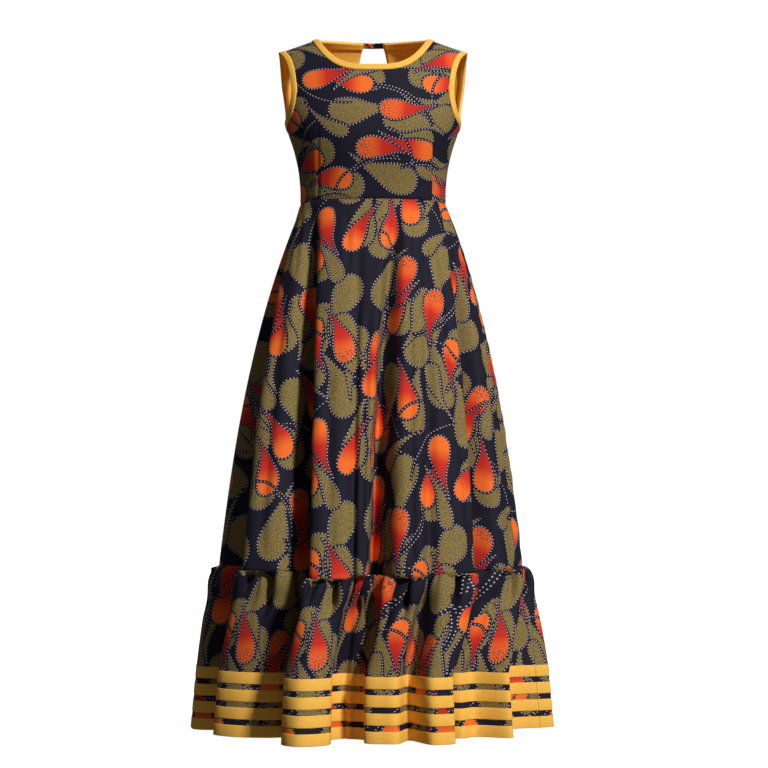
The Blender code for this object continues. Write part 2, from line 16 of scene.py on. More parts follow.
import bpy
import numpy as np
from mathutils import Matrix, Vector

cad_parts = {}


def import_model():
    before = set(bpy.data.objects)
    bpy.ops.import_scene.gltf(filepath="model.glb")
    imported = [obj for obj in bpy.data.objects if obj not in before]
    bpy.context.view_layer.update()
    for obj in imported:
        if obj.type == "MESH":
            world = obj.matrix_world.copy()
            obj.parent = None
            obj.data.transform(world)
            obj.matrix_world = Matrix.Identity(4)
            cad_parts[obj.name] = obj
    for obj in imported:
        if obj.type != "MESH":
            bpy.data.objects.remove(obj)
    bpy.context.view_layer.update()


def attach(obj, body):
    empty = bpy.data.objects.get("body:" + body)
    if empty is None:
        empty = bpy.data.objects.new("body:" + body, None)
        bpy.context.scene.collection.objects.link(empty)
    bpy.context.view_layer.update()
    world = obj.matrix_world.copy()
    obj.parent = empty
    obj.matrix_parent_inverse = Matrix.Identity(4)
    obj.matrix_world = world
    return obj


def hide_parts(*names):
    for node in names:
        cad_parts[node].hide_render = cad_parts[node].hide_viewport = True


LOG = logging.getLogger("dress")
ROOT = "root"
CLOTH_MAP = "cloth"  # UV map that holds flat cloth coordinates in metres
MM = 0.001
WELD = 2e-5  # points closer than this are one
SHORTEST = 1e-6  # keeps a division by the distance between two stations finite
NO_LENGTH = 1e-12  # keeps a division by a vector's length finite
AXIS_TOP = -0.12  # height on the axis that the faces of the shoulders point away from
Array = np.ndarray
Numbers = Array | float
Grid = Array  # (columns, rows, 3) points, or (columns, rows, 2) flat cloth coordinates
Object = bpy.types.Object
Tree = bpy.types.NodeTree
Socket = bpy.types.NodeSocket
Value = float | Sequence[float] | Socket


class Slot(Enum):
    """The record's material slots."""

    PRINT = "wax_print_cotton"
    YELLOW = "yellow_cotton"


# -------- curves


def smooth_step(t: Numbers) -> Array:
    """0 below 0, 1 above 1 and an even curve between."""
    t = np.clip(t, 0.0, 1.0)
    return t * t * (3 - 2 * t)


def unit(vectors: Array) -> Array:
    """Vectors of length 1, or 0 where a vector has no length."""
    return vectors / np.maximum(np.linalg.norm(vectors, axis=-1, keepdims=True), NO_LENGTH)


def hermite(start: Array, end: Array, leaving: Array, arriving: Array, t: Array) -> Array:
    """A cubic between two values with given slopes.

    Args:
        start: values where t is 0.
        end: values where t is 1.
        leaving: slopes where t is 0.
        arriving: slopes where t is 1.
        t: how far along, from 0 to 1.

    Returns:
        The values at t.
    """
    return (
        start * (2 * t**3 - 3 * t**2 + 1)
        + end * (3 * t**2 - 2 * t**3)
        + leaving * (t**3 - 2 * t**2 + t)
        + arriving * (t**3 - t**2)
    )


@dataclass(frozen=True)
class Profile:
    """A smooth curve through a short list of values."""

    keys: tuple[float, ...]
    values: tuple[float, ...]

    def __call__(self, at: Numbers) -> Array:
        """The curve's value.

        Args:
            at: where to read it; beyond its ends the curve stays level.

        Returns:
            The values, in the shape of ``at``.
        """
        keys, values = np.array(self.keys), np.array(self.values)
        at = np.clip(np.asarray(at, float), keys[0], keys[-1])
        last = len(keys) - 1
        upper = np.clip(np.searchsorted(keys, at), 1, last)
        lower = upper - 1
        number = np.arange(last + 1)
        before, after = np.maximum(number - 1, 0), np.minimum(number + 1, last)
        slopes = (values[after] - values[before]) / (keys[after] - keys[before])
        span = keys[upper] - keys[lower]
        share = (at - keys[lower]) / span
        return hermite(values[lower], values[upper], slopes[lower] * span, slopes[upper] * span, share)


def closed_curve(stations: Array, columns_each: int) -> Array:
    """Points on a smooth closed curve.

    Args:
        stations: (n, 2) plan points that the curve goes through.
        columns_each: how many points go between each two stations.

    Returns:
        (n * columns_each, 2) plan points.
    """
    before, start, end, after = (np.roll(stations, -k, axis=0) for k in (-1, 0, 1, 2))
    # Slopes by the square roots of the distances, so that no loop forms where stations lie close together
    came, here, next_on = (
        np.sqrt(np.maximum(np.linalg.norm(b - a, axis=1), SHORTEST))[:, None]
        for a, b in ((before, start), (start, end), (end, after))
    )
    leaving = (end - start) + ((start - before) / came - (end - before) / (came + here)) * here
    arriving = (end - start) + ((after - end) / next_on - (after - start) / (here + next_on)) * here
    share = (np.arange(columns_each) / columns_each)[None, :, None]
    start, end, leaving, arriving = (a[:, None, :] for a in (start, end, leaving, arriving))
    return hermite(start, end, leaving, arriving, share).reshape(-1, 2)


def ring_normals(rings: Array) -> Array:
    """Outward unit normals, in plan, of closed rings that run anticlockwise as seen from above."""
    along = np.roll(rings, -1, axis=1) - np.roll(rings, 1, axis=1)
    return unit(np.stack([along[..., 1], -along[..., 0]], axis=-1))


def steps_along(points: Array, axis: int) -> Array:
    """Distance covered along one axis of a grid.

    Args:
        points: (m, n, 3) points.
        axis: the axis to measure along, 0 or 1.

    Returns:
        (m, n) distances, starting at 0.
    """
    steps = np.linalg.norm(np.diff(points, axis=axis), axis=-1)
    none_yet = np.zeros_like(np.take(steps, [0], axis=axis))
    return np.concatenate([none_yet, np.cumsum(steps, axis=axis)], axis=axis)


# -------- nodes and finishes


def linear(colour: str) -> tuple[float, float, float, float]:
    """Linear RGBA of an sRGB hex colour such as ``"#1E1A2E"``.

    Args:
        colour: the sRGB hex colour.

    Returns:
        Red, green, blue and an alpha of 1.
    """
    channels = [int(colour[i : i + 2], 16) / 255 for i in (1, 3, 5)]
    red, green, blue = (c / 12.92 if c <= 0.04045 else ((c + 0.055) / 1.055) ** 2.4 for c in channels)
    return red, green, blue, 1.0


def add_node(
    tree: Tree, kind: str, inputs: Sequence[Value] | dict[str, Value] = (), **settings: object
) -> Socket:
    """Add a shader node with its settings and links.

    Args:
        tree: the node tree that gets it.
        kind: the node's class name after ``ShaderNode``.
        inputs: for its sockets in use, in order or by name: constants, or the outputs that feed them.
        settings: the node's own settings.

    Returns:
        Its first output in use.
    """
    node = tree.nodes.new(f"ShaderNode{kind}")
    for name, value in settings.items():
        setattr(node, name, value)
    used = [socket for socket in node.inputs if socket.enabled]
    pairs = zip(used, inputs)
    if isinstance(inputs, dict):
        named = {socket.name: socket for socket in reversed(used)}
        pairs = ((named[name], value) for name, value in inputs.items())
    for socket, value in pairs:
        if isinstance(value, Socket):
            tree.links.new(value, socket)
        else:
            socket.default_value = value
    return next(socket for socket in node.outputs if socket.enabled)


def new_group(
    name: str, inputs: dict[str, str], outputs: dict[str, str]
) -> tuple[Tree, dict[str, Socket], bpy.types.Node]:
    """An empty node group.

    Args:
        name: its name.
        inputs: kinds of socket by input name: Float, Vector or Color.
        outputs: the same for its outputs.

    Returns:
        The tree, its input sockets by name and its output node.
    """
    tree = bpy.data.node_groups.new(name, "ShaderNodeTree")
    for way, wanted in (("INPUT", inputs), ("OUTPUT", outputs)):
        for socket, kind in wanted.items():
            tree.interface.new_socket(name=socket, in_out=way, socket_type=f"NodeSocket{kind}")
    entry = tree.nodes.new("NodeGroupInput")
    return tree, {s.name: s for s in entry.outputs}, tree.nodes.new("NodeGroupOutput")


class Kind(Enum):
    """What a motif of the print is filled with."""

    EMBER = "ember"  # orange at the round end, crimson at the tail
    SPARKLER = "sparkler"  # the same with a stippled round end
    LEAF = "leaf"  # stippled olive
    TENDRIL = "tendril"  # one or two rows of dots alone


EMBER, SPARKLER, LEAF, TENDRIL = Kind


@dataclass(frozen=True)
class Motif:
    """One motif of the repeat: where its round end is centred and how it leans, in mm and degrees."""

    kind: Kind
    x: float
    y: float
    turn: float  # 0 points the tail up the cloth
    length: float  # from the round end's centre to the tail's tip
    radius: float  # of the round end; of a tendril, half the distance between its two rows
    bend: float  # how far the tail's tip sweeps sideways


@dataclass(frozen=True)
class WaxPrint:
    """Wax print cotton: a plain weave with wax-resist dyes, so flat and even in colour, with a slight glaze.

    The dye goes right through, so both sides show the print.
    The print is a general one of its kind, listed here motif by motif: drops, leaves and dotted tendrils.
    """

    name: str = "wax_print_cotton"
    tile: tuple[float, float] = (340.0, 440.0)  # mm, the size of the repeat
    ground: str = "#181524"
    head: str = "#F77026"
    middle: str = "#D02C1A"
    tail: str = "#8E1D28"
    olive: str = "#716139"
    gold: str = "#927C3D"
    grain: str = "#574A50"  # the leaves' dark stipples
    dot: str = "#C2B4C2"
    stipple: str = "#7A1F3A"  # the sparklers' stipples
    ember_stops: tuple[float, float, float] = (0.04, 0.32, 0.88)  # places of those three along a drop
    dot_radius: float = 1.22  # mm
    dot_step: float = 6.7  # mm between dots along an outline
    rim: float = 3.0  # mm of ground colour that an outline lies on
    inset: float = 1.8  # mm from the outline in to the fill
    swell: float = 0.22  # how much fuller a drop is than a cone, and how much thinner its tail
    tip: float = 0.6  # mm, how blunt a drop's tip is
    thread: float = 1.3  # mm between threads; the real 0.35 is too fine to show
    relief: float = 0.25  # share of the weave's relief that the glaze leaves
    speckle: float = 3.0  # mm between the grains of the stippling; the real 1.5 is too fine to show
    speckle_detail: float = 2.0
    speckle_roughness: float = 0.7
    light_grain: tuple[float, float] = (0.42, 0.56)  # noise values between which olive turns to gold
    dark_grain: tuple[float, float] = (0.46, 0.35)  # and between which the dark stipples come
    dark_share: float = 0.8
    spark_grain: float = 0.53  # noise value above which a sparkler is stippled
    spark_reach: float = 0.16  # share of a sparkler over which its stipples fade
    spark_share: float = 0.9
    roughness: float = 0.80
    shine: float = 0.25  # half of what a smooth surface reflects
    motifs: tuple[Motif, ...] = (
        Motif(LEAF, 26, 44, -6, 118, 28, 30),
        Motif(LEAF, 38, 176, 174, 104, 27, -34),
        Motif(LEAF, 14, 266, 188, 112, 26, 32),
        Motif(LEAF, 36, 378, -10, 116, 28, -34),
        Motif(LEAF, 94, 104, 12, 118, 28, 34),
        Motif(LEAF, 112, 228, 194, 102, 27, -30),
        Motif(LEAF, 114, 338, -24, 112, 27, -30),
        Motif(LEAF, 174, 60, 172, 108, 28, 32),
        Motif(LEAF, 184, 156, 22, 112, 26, -36),
        Motif(LEAF, 164, 286, -14, 122, 28, -32),
        Motif(LEAF, 158, 394, 184, 108, 26, -34),
        Motif(LEAF, 246, 4, -14, 116, 28, 34),
        Motif(LEAF, 234, 224, 14, 120, 29, 30),
        Motif(LEAF, 254, 342, 190, 106, 28, -32),
        Motif(LEAF, 322, 66, 4, 112, 26, -34),
        Motif(LEAF, 300, 168, 8, 108, 29, 32),
        Motif(LEAF, 322, 292, 160, 116, 25, 32),
        Motif(LEAF, 304, 396, 168, 104, 28, -30),
        Motif(LEAF, 66, 330, 172, 92, 24, 26),
        Motif(LEAF, 292, 318, 200, 88, 25, 24),
        Motif(TENDRIL, 70, 20, 28, 70, 3.4, 26),
        Motif(TENDRIL, 210, 120, -30, 78, 0, -24),
        Motif(TENDRIL, 68, 296, -16, 84, 3.4, 30),
        Motif(TENDRIL, 276, 270, 24, 80, 0, -28),
        Motif(TENDRIL, 206, 366, -34, 74, 3.4, 22),
        Motif(TENDRIL, 140, 140, 44, 60, 0, 20),
        Motif(EMBER, 40, 60, -12, 98, 21, 30),
        Motif(SPARKLER, 34, 288, 170, 98, 21, -26),
        Motif(SPARKLER, 100, 12, 188, 96, 21, -28),
        Motif(EMBER, 80, 120, 4, 96, 20, 26),
        Motif(EMBER, 96, 330, -4, 100, 20, -28),
        Motif(EMBER, 164, 174, 8, 100, 21, 26),
        Motif(SPARKLER, 178, 406, 172, 94, 21, 26),
        Motif(EMBER, 232, 18, -4, 96, 20, -26),
        Motif(EMBER, 246, 122, 184, 98, 21, 28),
        Motif(EMBER, 236, 322, 178, 94, 20, 30),
        Motif(EMBER, 306, 52, -16, 96, 20, -24),
        Motif(SPARKLER, 300, 266, 8, 96, 21, 26),
        Motif(EMBER, 16, 194, -2, 90, 19, -24),
        Motif(LEAF, 62, 222, 20, 100, 14, -38),
        Motif(LEAF, 204, 262, 196, 98, 14, 38),
        Motif(LEAF, 280, 424, 12, 106, 14, 40),
        Motif(LEAF, 134, 60, -18, 94, 13, -36),
        Motif(TENDRIL, 40, 64, 52, 34, 0, 10),
        Motif(TENDRIL, 164, 180, -44, 34, 0, -10),
        Motif(TENDRIL, 236, 316, 66, 34, 0, 10),
        Motif(TENDRIL, 110, 372, -58, 46, 0, 16),
    )

    def near(self, tree: Tree, given: dict[str, Socket]) -> tuple[Socket, Socket]:
        """A place on the cloth as a motif sees it, in the nearest repeat.

        Args:
            tree: the motif's group.
            given: the group's inputs by name.

        Returns:
            The distance up the motif's axis, and off it once its sweep is taken out.
        """
        add = partial(add_node, tree)
        half = tuple(side * MM / 2 for side in self.tile) + (1.0,)
        away = add("VectorMath", (given["Cloth"], given["Centre"]), operation="SUBTRACT")
        near = add("VectorMath", (away, half, tuple(-v for v in half)), operation="WRAP")
        up = add("VectorMath", (near, given["Along"]), operation="DOT_PRODUCT")
        across = add("VectorMath", (near, given["Across"]), operation="DOT_PRODUCT")
        square = add("Math", (up, up), operation="MULTIPLY")
        return up, add("Math", (square, given["Bend"], across), operation="MULTIPLY_ADD")

    def dotted(
        self, tree: Tree, below: Socket, edge: Socket, run: Socket, step: Value, inside: Socket
    ) -> tuple[Socket, Socket]:
        """Lay a row of dots, on a rim of ground colour, over the colours below.

        Args:
            tree: the motif's group.
            below: the colour so far.
            edge: distance from the row, at most 0 inside an outline.
            run: distance along the row.
            step: distance between dots.
            inside: 1 where the row and its rim may show.

        Returns:
            The colour, and the dots' mask.
        """
        add = partial(add_node, tree)
        half_step = add("Math", (step, 0.5), operation="MULTIPLY")
        beside = add("Math", (run, half_step), operation="PINGPONG")
        spot = add("CombineXYZ", (beside, edge))
        out = add("VectorMath", (spot,), operation="LENGTH")
        dots = add("Math", (out, self.dot_radius * MM), operation="LESS_THAN")
        dots = add("Math", (dots, inside), operation="MULTIPLY")
        rim = add("Math", (edge, self.rim * MM), operation="LESS_THAN")
        rim = add("Math", (rim, inside), operation="MULTIPLY")
        colour = add("Mix", (rim, below, linear(self.ground)), data_type="RGBA")
        return add("Mix", (dots, colour, linear(self.dot)), data_type="RGBA"), dots

    def drop_group(self) -> Tree:
        """A group that lays one drop over the colours below it.

        Returns:
            The group; its outputs are the colour so far, the place along the drop and the fill's mask.
        """
        sizes = {name: "Float" for name in ("Length", "Radius", "Bend", "Dot Step")}
        places = {name: "Vector" for name in ("Cloth", "Centre", "Across", "Along", "Flank", "Slope")}
        results = {"Color": "Color", "Share": "Float", "Fill": "Float"}
        tree, given, result = new_group("drop", {"Below": "Color", **places, **sizes}, results)
        add = partial(add_node, tree)
        up, swept = self.near(tree, given)
        share = add("Math", (up, given["Length"]), operation="DIVIDE", use_clamp=True)
        turn = add("Math", (share, 2 * math.pi), operation="MULTIPLY")
        wave = add("Math", (turn,), operation="SINE")
        fuller = add("Math", (wave, self.swell, 1.0), operation="MULTIPLY_ADD")
        off_axis = add("Math", (swept, fuller), operation="DIVIDE")
        off_axis = add("Math", (off_axis,), operation="ABSOLUTE")
        point = add("CombineXYZ", (off_axis, up))
        past_head = add("VectorMath", (point, given["Flank"]), operation="DOT_PRODUCT")
        from_axis = add("VectorMath", (point, given["Slope"]), operation="DOT_PRODUCT")
        on_side = add("Math", (past_head, 0.0), operation="GREATER_THAN")
        out = add("VectorMath", (point,), operation="LENGTH")
        out = add("Mix", (on_side, out, from_axis))
        edge = add("Math", (out, given["Radius"]), operation="SUBTRACT")
        past_tip = add("Math", (up, given["Length"]), operation="SUBTRACT")
        edge = add("Math", (edge, past_tip), operation="MAXIMUM")
        round_head = add("Math", (past_head, from_axis), operation="ARCTAN2")
        round_head = add("Math", (round_head, given["Radius"]), operation="MULTIPLY")
        run = add("Mix", (on_side, round_head, past_head))
        always = add("Math", (edge, 1.0), operation="LESS_THAN")
        colour, dots = self.dotted(tree, given["Below"], edge, run, given["Dot Step"], always)
        fill = add("Math", (edge, -self.inset * MM), operation="LESS_THAN")
        fill = add("Math", (fill, dots), operation="SUBTRACT", use_clamp=True)
        for name, value in (("Color", colour), ("Share", share), ("Fill", fill)):
            tree.links.new(value, result.inputs[name])
        return tree

    def tendril_group(self) -> Tree:
        """A group that lays one or two curved rows of dots over the colours below.

        Returns:
            The group; its output is the colour.
        """
        places = {name: "Vector" for name in ("Cloth", "Centre", "Across", "Along")}
        sizes = {name: "Float" for name in ("Length", "Radius", "Bend")}
        tree, given, result = new_group("tendril", {"Below": "Color", **places, **sizes}, {"Color": "Color"})
        add = partial(add_node, tree)
        up, swept = self.near(tree, given)
        off = add("Math", (swept,), operation="ABSOLUTE")
        edge = add("Math", (off, given["Radius"]), operation="SUBTRACT")
        far = add("Math", (up,), operation="ABSOLUTE")
        inside = add("Math", (far, given["Length"]), operation="LESS_THAN")
        colour, _ = self.dotted(tree, given["Below"], edge, up, self.dot_step * MM, inside)
        tree.links.new(colour, result.inputs["Color"])
        return tree

    def placed(self, motif: Motif) -> dict[str, Value]:
        """The group inputs that put one motif in its place.

        Args:
            motif: the motif.

        Returns:
            Values by input name.
        """
        turn = math.radians(motif.turn)
        length, radius = motif.length * MM, motif.radius * MM
        values = {
            "Centre": (motif.x * MM, motif.y * MM, 0.0),
            "Across": (math.cos(turn), math.sin(turn), 0.0),
            "Along": (-math.sin(turn), math.cos(turn), 0.0),
            "Length": length,
            "Radius": radius,
            "Bend": motif.bend * MM / length**2,
        }
        if motif.kind is TENDRIL:
            return values
        sine = (radius - self.tip * MM) / length
        cosine = math.sqrt(1 - sine * sine)
        head = radius * (math.pi / 2 + math.asin(sine))
        step = head / max(1, round(head / (self.dot_step * MM)))
        return {**values, "Flank": (-sine, cosine, 0.0), "Slope": (cosine, sine, 0.0), "Dot Step": step}

    def stippled(self, tree: Tree, cloth: Socket) -> tuple[Socket, Socket]:
        """The stippling of the leaves and of the sparklers.

        Args:
            tree: the material's nodes.
            cloth: flat cloth coordinates.

        Returns:
            The leaves' colour, and the mask of the sparklers' stipples.
        """
        add = partial(add_node, tree)
        grains = {
            "Vector": cloth,
            "Scale": 1 / (self.speckle * MM),
            "Detail": self.speckle_detail,
            "Roughness": self.speckle_roughness,
        }
        grain = add("TexNoise", grains, noise_dimensions="2D")
        light = add("MapRange", (grain, *self.light_grain, 0.0, 1.0))
        dark = add("MapRange", (grain, *self.dark_grain, 0.0, self.dark_share))
        olive = add("Mix", (light, linear(self.olive), linear(self.gold)), data_type="RGBA")
        olive = add("Mix", (dark, olive, linear(self.grain)), data_type="RGBA")
        return olive, add("Math", (grain, self.spark_grain), operation="GREATER_THAN")

    def colours(self, tree: Tree, cloth: Socket) -> Socket:
        """The whole print, motif over motif.

        Args:
            tree: the material's nodes.
            cloth: flat cloth coordinates.

        Returns:
            The print's colour.
        """
        add = partial(add_node, tree)
        drop, tendril = self.drop_group(), self.tendril_group()
        olive, stipple = self.stippled(tree, cloth)
        colour: Value = linear(self.ground)
        for motif in self.motifs:
            group = tendril if motif.kind is TENDRIL else drop
            inputs = {"Below": colour, "Cloth": cloth, **self.placed(motif)}
            colour = add("Group", inputs, node_tree=group)
            if motif.kind is TENDRIL:
                continue
            results = colour.node.outputs
            fill = olive
            if motif.kind is not LEAF:
                fill = self.ember(tree, results["Share"], stipple, motif.kind)
            colour = add("Mix", (results["Fill"], colour, fill), data_type="RGBA")
        return colour

    def ember(self, tree: Tree, share: Socket, stipple: Socket, kind: Kind) -> Socket:
        """A drop's fill: orange at the round end, red along it and crimson at the tail.

        Args:
            tree: the material's nodes.
            share: place along the drop, from its round end's centre to its tip.
            stipple: mask of the sparklers' stipples.
            kind: ember or sparkler.

        Returns:
            The fill's colour.
        """
        add = partial(add_node, tree)
        colour = add("ValToRGB", (share,))
        stops = colour.node.color_ramp.elements
        stops.new(self.ember_stops[1])
        for stop, position, shade in zip(stops, self.ember_stops, (self.head, self.middle, self.tail)):
            stop.position = position
            stop.color = linear(shade)
        if kind is EMBER:
            return colour
        near_head = add("MapRange", (share, 0.0, self.spark_reach, self.spark_share, 0.0))
        mask = add("Math", (near_head, stipple), operation="MULTIPLY")
        return add("Mix", (mask, colour, linear(self.stipple)), data_type="RGBA")


WEAVE_HEIGHT = 0.15  # mm, how high one thread of the drawn weave stands over the next


def woven(finish: WaxPrint | PlainCotton) -> bpy.types.Material:
    """Make a finish on a plain weave.

    Args:
        finish: gives the colours, and says how rough, shiny and coarse the cloth is.

    Returns:
        The material.
    """
    material = bpy.data.materials.new(finish.name)
    material.use_nodes = True
    tree = material.node_tree
    add = partial(add_node, tree)
    cloth = add("UVMap", uv_map=CLOTH_MAP)
    surface = tree.nodes["Principled BSDF"]
    tree.links.new(finish.colours(tree, cloth), surface.inputs["Base Color"])
    turns = add("VectorMath", {"Vector": cloth, "Scale": math.pi / (finish.thread * MM)}, operation="SCALE")
    weft = add("SeparateXYZ", (turns,)).node.outputs
    across = add("Math", (weft["X"],), operation="SINE")
    down = add("Math", (weft["Y"],), operation="SINE")
    height = add("Math", (across, down), operation="MULTIPLY")
    relief = add("Bump", {"Strength": finish.relief, "Distance": WEAVE_HEIGHT * MM, "Height": height})
    tree.links.new(relief, surface.inputs["Normal"])
    surface.inputs["Roughness"].default_value = finish.roughness
    surface.inputs["Specular IOR Level"].default_value = finish.shine
    return material


@dataclass(frozen=True)
class PlainCotton:
    """Plain dyed cotton: matt, with faint slubs along its threads and a fine plain weave.

    The slubs take the dye a little deeper, so the colour is not quite even.
    """

    name: str
    colour: str
    shade: str
    thread: float = 1.3  # mm between threads; the real 0.35 is too fine to show
    relief: float = 0.3  # share of the weave's relief that shows
    slub: tuple[float, float] = (16.0, 2.4)  # mm, length and width of a slub
    slub_detail: float = 3.0
    slub_grain: tuple[float, float] = (0.40, 0.80)  # noise values between which the shade comes
    roughness: float = 0.82
    shine: float = 0.25  # half of what a smooth surface reflects

    def colours(self, tree: Tree, cloth: Socket) -> Socket:
        """The slubbed colour.

        Args:
            tree: the material's nodes.
            cloth: flat cloth coordinates.

        Returns:
            The colour.
        """
        add = partial(add_node, tree)
        scale = tuple(1 / (side * MM) for side in self.slub)
        stretched = add("VectorMath", (cloth, (*scale, 1.0)), operation="MULTIPLY")
        grains = {"Vector": stretched, "Scale": 1.0, "Detail": self.slub_detail}
        slub = add("TexNoise", grains, noise_dimensions="2D")
        share = add("MapRange", (slub, *self.slub_grain, 0.0, 1.0))
        return add("Mix", (share, linear(self.colour), linear(self.shade)), data_type="RGBA")


# -------- cloth meshes


@dataclass
class Patch:
    """A grid of cloth: its points, and where each of them lies on the flat cloth, in metres."""

    points: Grid
    flat: Grid


def welded(points: Array) -> tuple[Array, Array]:
    """Find the points that lie in one place.

    Args:
        points: (n, 3) points.

    Returns:
        The number of one point for each place, and the number of each point's place.
    """
    places = np.round(points / WELD).astype(np.int64)
    _, first, index = np.unique(places, axis=0, return_index=True, return_inverse=True)
    return first, index.reshape(-1)


def look_in(normals: Array, points: Array) -> bool:
    """Whether normals, taken together, look in towards the axis of the dress."""
    off_axis = points - np.minimum(points[..., 2:], AXIS_TOP) * (0, 0, 1)
    return (normals * off_axis).sum() < 0


def grid_normals(patches: Sequence[Grid]) -> list[Grid]:
    """Outward unit normals of grids that share edges, averaged where they meet.

    Args:
        patches: the grids' points.

    Returns:
        A grid of normals for each patch.
    """
    raw = []
    for points in patches:
        normals = np.cross(np.gradient(points, axis=0), np.gradient(points, axis=1))
        raw.append(unit(-normals if look_in(normals, points) else normals))
    _, index = welded(np.concatenate([points.reshape(-1, 3) for points in patches]))
    sums = np.zeros((index.max() + 1, 3))
    np.add.at(sums, index, np.concatenate([normals.reshape(-1, 3) for normals in raw]))
    shared = unit(sums)[index]
    cuts = np.cumsum([points.shape[0] * points.shape[1] for points in patches])[:-1]
    return [part.reshape(points.shape) for part, points in zip(np.split(shared, cuts), patches)]


def cloth_mesh(name: str, patches: Sequence[Patch]) -> bpy.types.Mesh:
    """One mesh of patches, welded where they meet, with its faces outward.

    Args:
        name: the mesh's name.
        patches: the patches.

    Returns:
        The mesh, with a map of flat cloth coordinates.
    """
    corners, coords, quads, start = [], [], [], 0
    for patch in patches:
        columns, rows = patch.points.shape[:2]
        index = start + np.arange(columns * rows).reshape(columns, rows)
        around = index[:-1, :-1], index[1:, :-1], index[1:, 1:], index[:-1, 1:]
        quad = np.stack(around, axis=-1).reshape(-1, 4)
        points = patch.points.reshape(-1, 3)
        a, b, c, d = (points[quad[:, k] - start] for k in range(4))
        if look_in(np.cross(c - a, d - b), (a + b + c + d) / 4):
            quad = quad[:, ::-1]
        corners.append(points)
        coords.append(patch.flat.reshape(-1, 2))
        quads.append(quad)
        start += columns * rows
    corners, coords, quads = (np.concatenate(part) for part in (corners, coords, quads))
    first, index = welded(corners)
    mesh = bpy.data.meshes.new(name)
    mesh.from_pydata(corners[first].tolist(), [], index[quads].tolist())
    layer = mesh.uv_layers.new(name=CLOTH_MAP)
    layer.uv.foreach_set("vector", coords[quads.reshape(-1)].astype(np.float32).reshape(-1))
    mesh.shade_smooth()
    return mesh


@dataclass(frozen=True)
class Cloth:
    """What a piece is cut from: a finish, its material slot and how thick the cloth is shown."""

    finish: bpy.types.Material
    slot: Slot
    thickness: float


@dataclass
class Piece:
    """One cloth piece: the node that it stands for, its form, its cloth and its flat cut."""

    node: str
    patches: list[Patch]
    cloth: Cloth
    cut: tuple[float, float]  # flat width and length, in metres
    area: float | None = None  # of the flat cut, where it isn't a rectangle
    held: str = "hung"

    def build(self) -> Object:
        """Make the piece with its finish and thickness, and put it on the frame in place of its solid.

        Returns:
            The piece.
        """
        name = f"{self.node}_cloth"
        mesh = cloth_mesh(name, self.patches)
        mesh.materials.append(self.cloth.finish)
        piece = bpy.data.objects.new(name, mesh)
        bpy.context.scene.collection.objects.link(piece)
        wall = piece.modifiers.new("Cloth thickness", "SOLIDIFY")
        wall.thickness = self.cloth.thickness
        wall.offset = -1.0
        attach(piece, ROOT)
        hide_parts(self.node)
        return piece


# -------- form of the dress


@dataclass(frozen=True)
class Cut:
    """Sizes that the pieces share, in metres."""

    waist_z: float = -0.328
    ruffle_z: float = -1.052
    hem_z: float = -1.368
    wall: float = 0.0014  # of the solids' printed pieces
    gap: float = 0.0003  # between neighbouring pieces
    back_gap: float = 0.00004  # between the two backs, which no light may pass
    lining_gap: float = 0.0005
    lining_wall: float = 0.0010
    cotton: float = 0.0006  # thickness that the cloth is shown with
    lining_cloth: float = 0.0004


@dataclass(frozen=True)
class Section:
    """One level section of the bodice: half its width, its depths from the axis and how square it is."""

    height: float
    half_width: float
    front: float
    back: float
    corner: float


@dataclass(frozen=True)
class Roll:
    """Where the front or the back starts to roll over to the shoulder seam, and how late it does."""

    start: float
    power: float


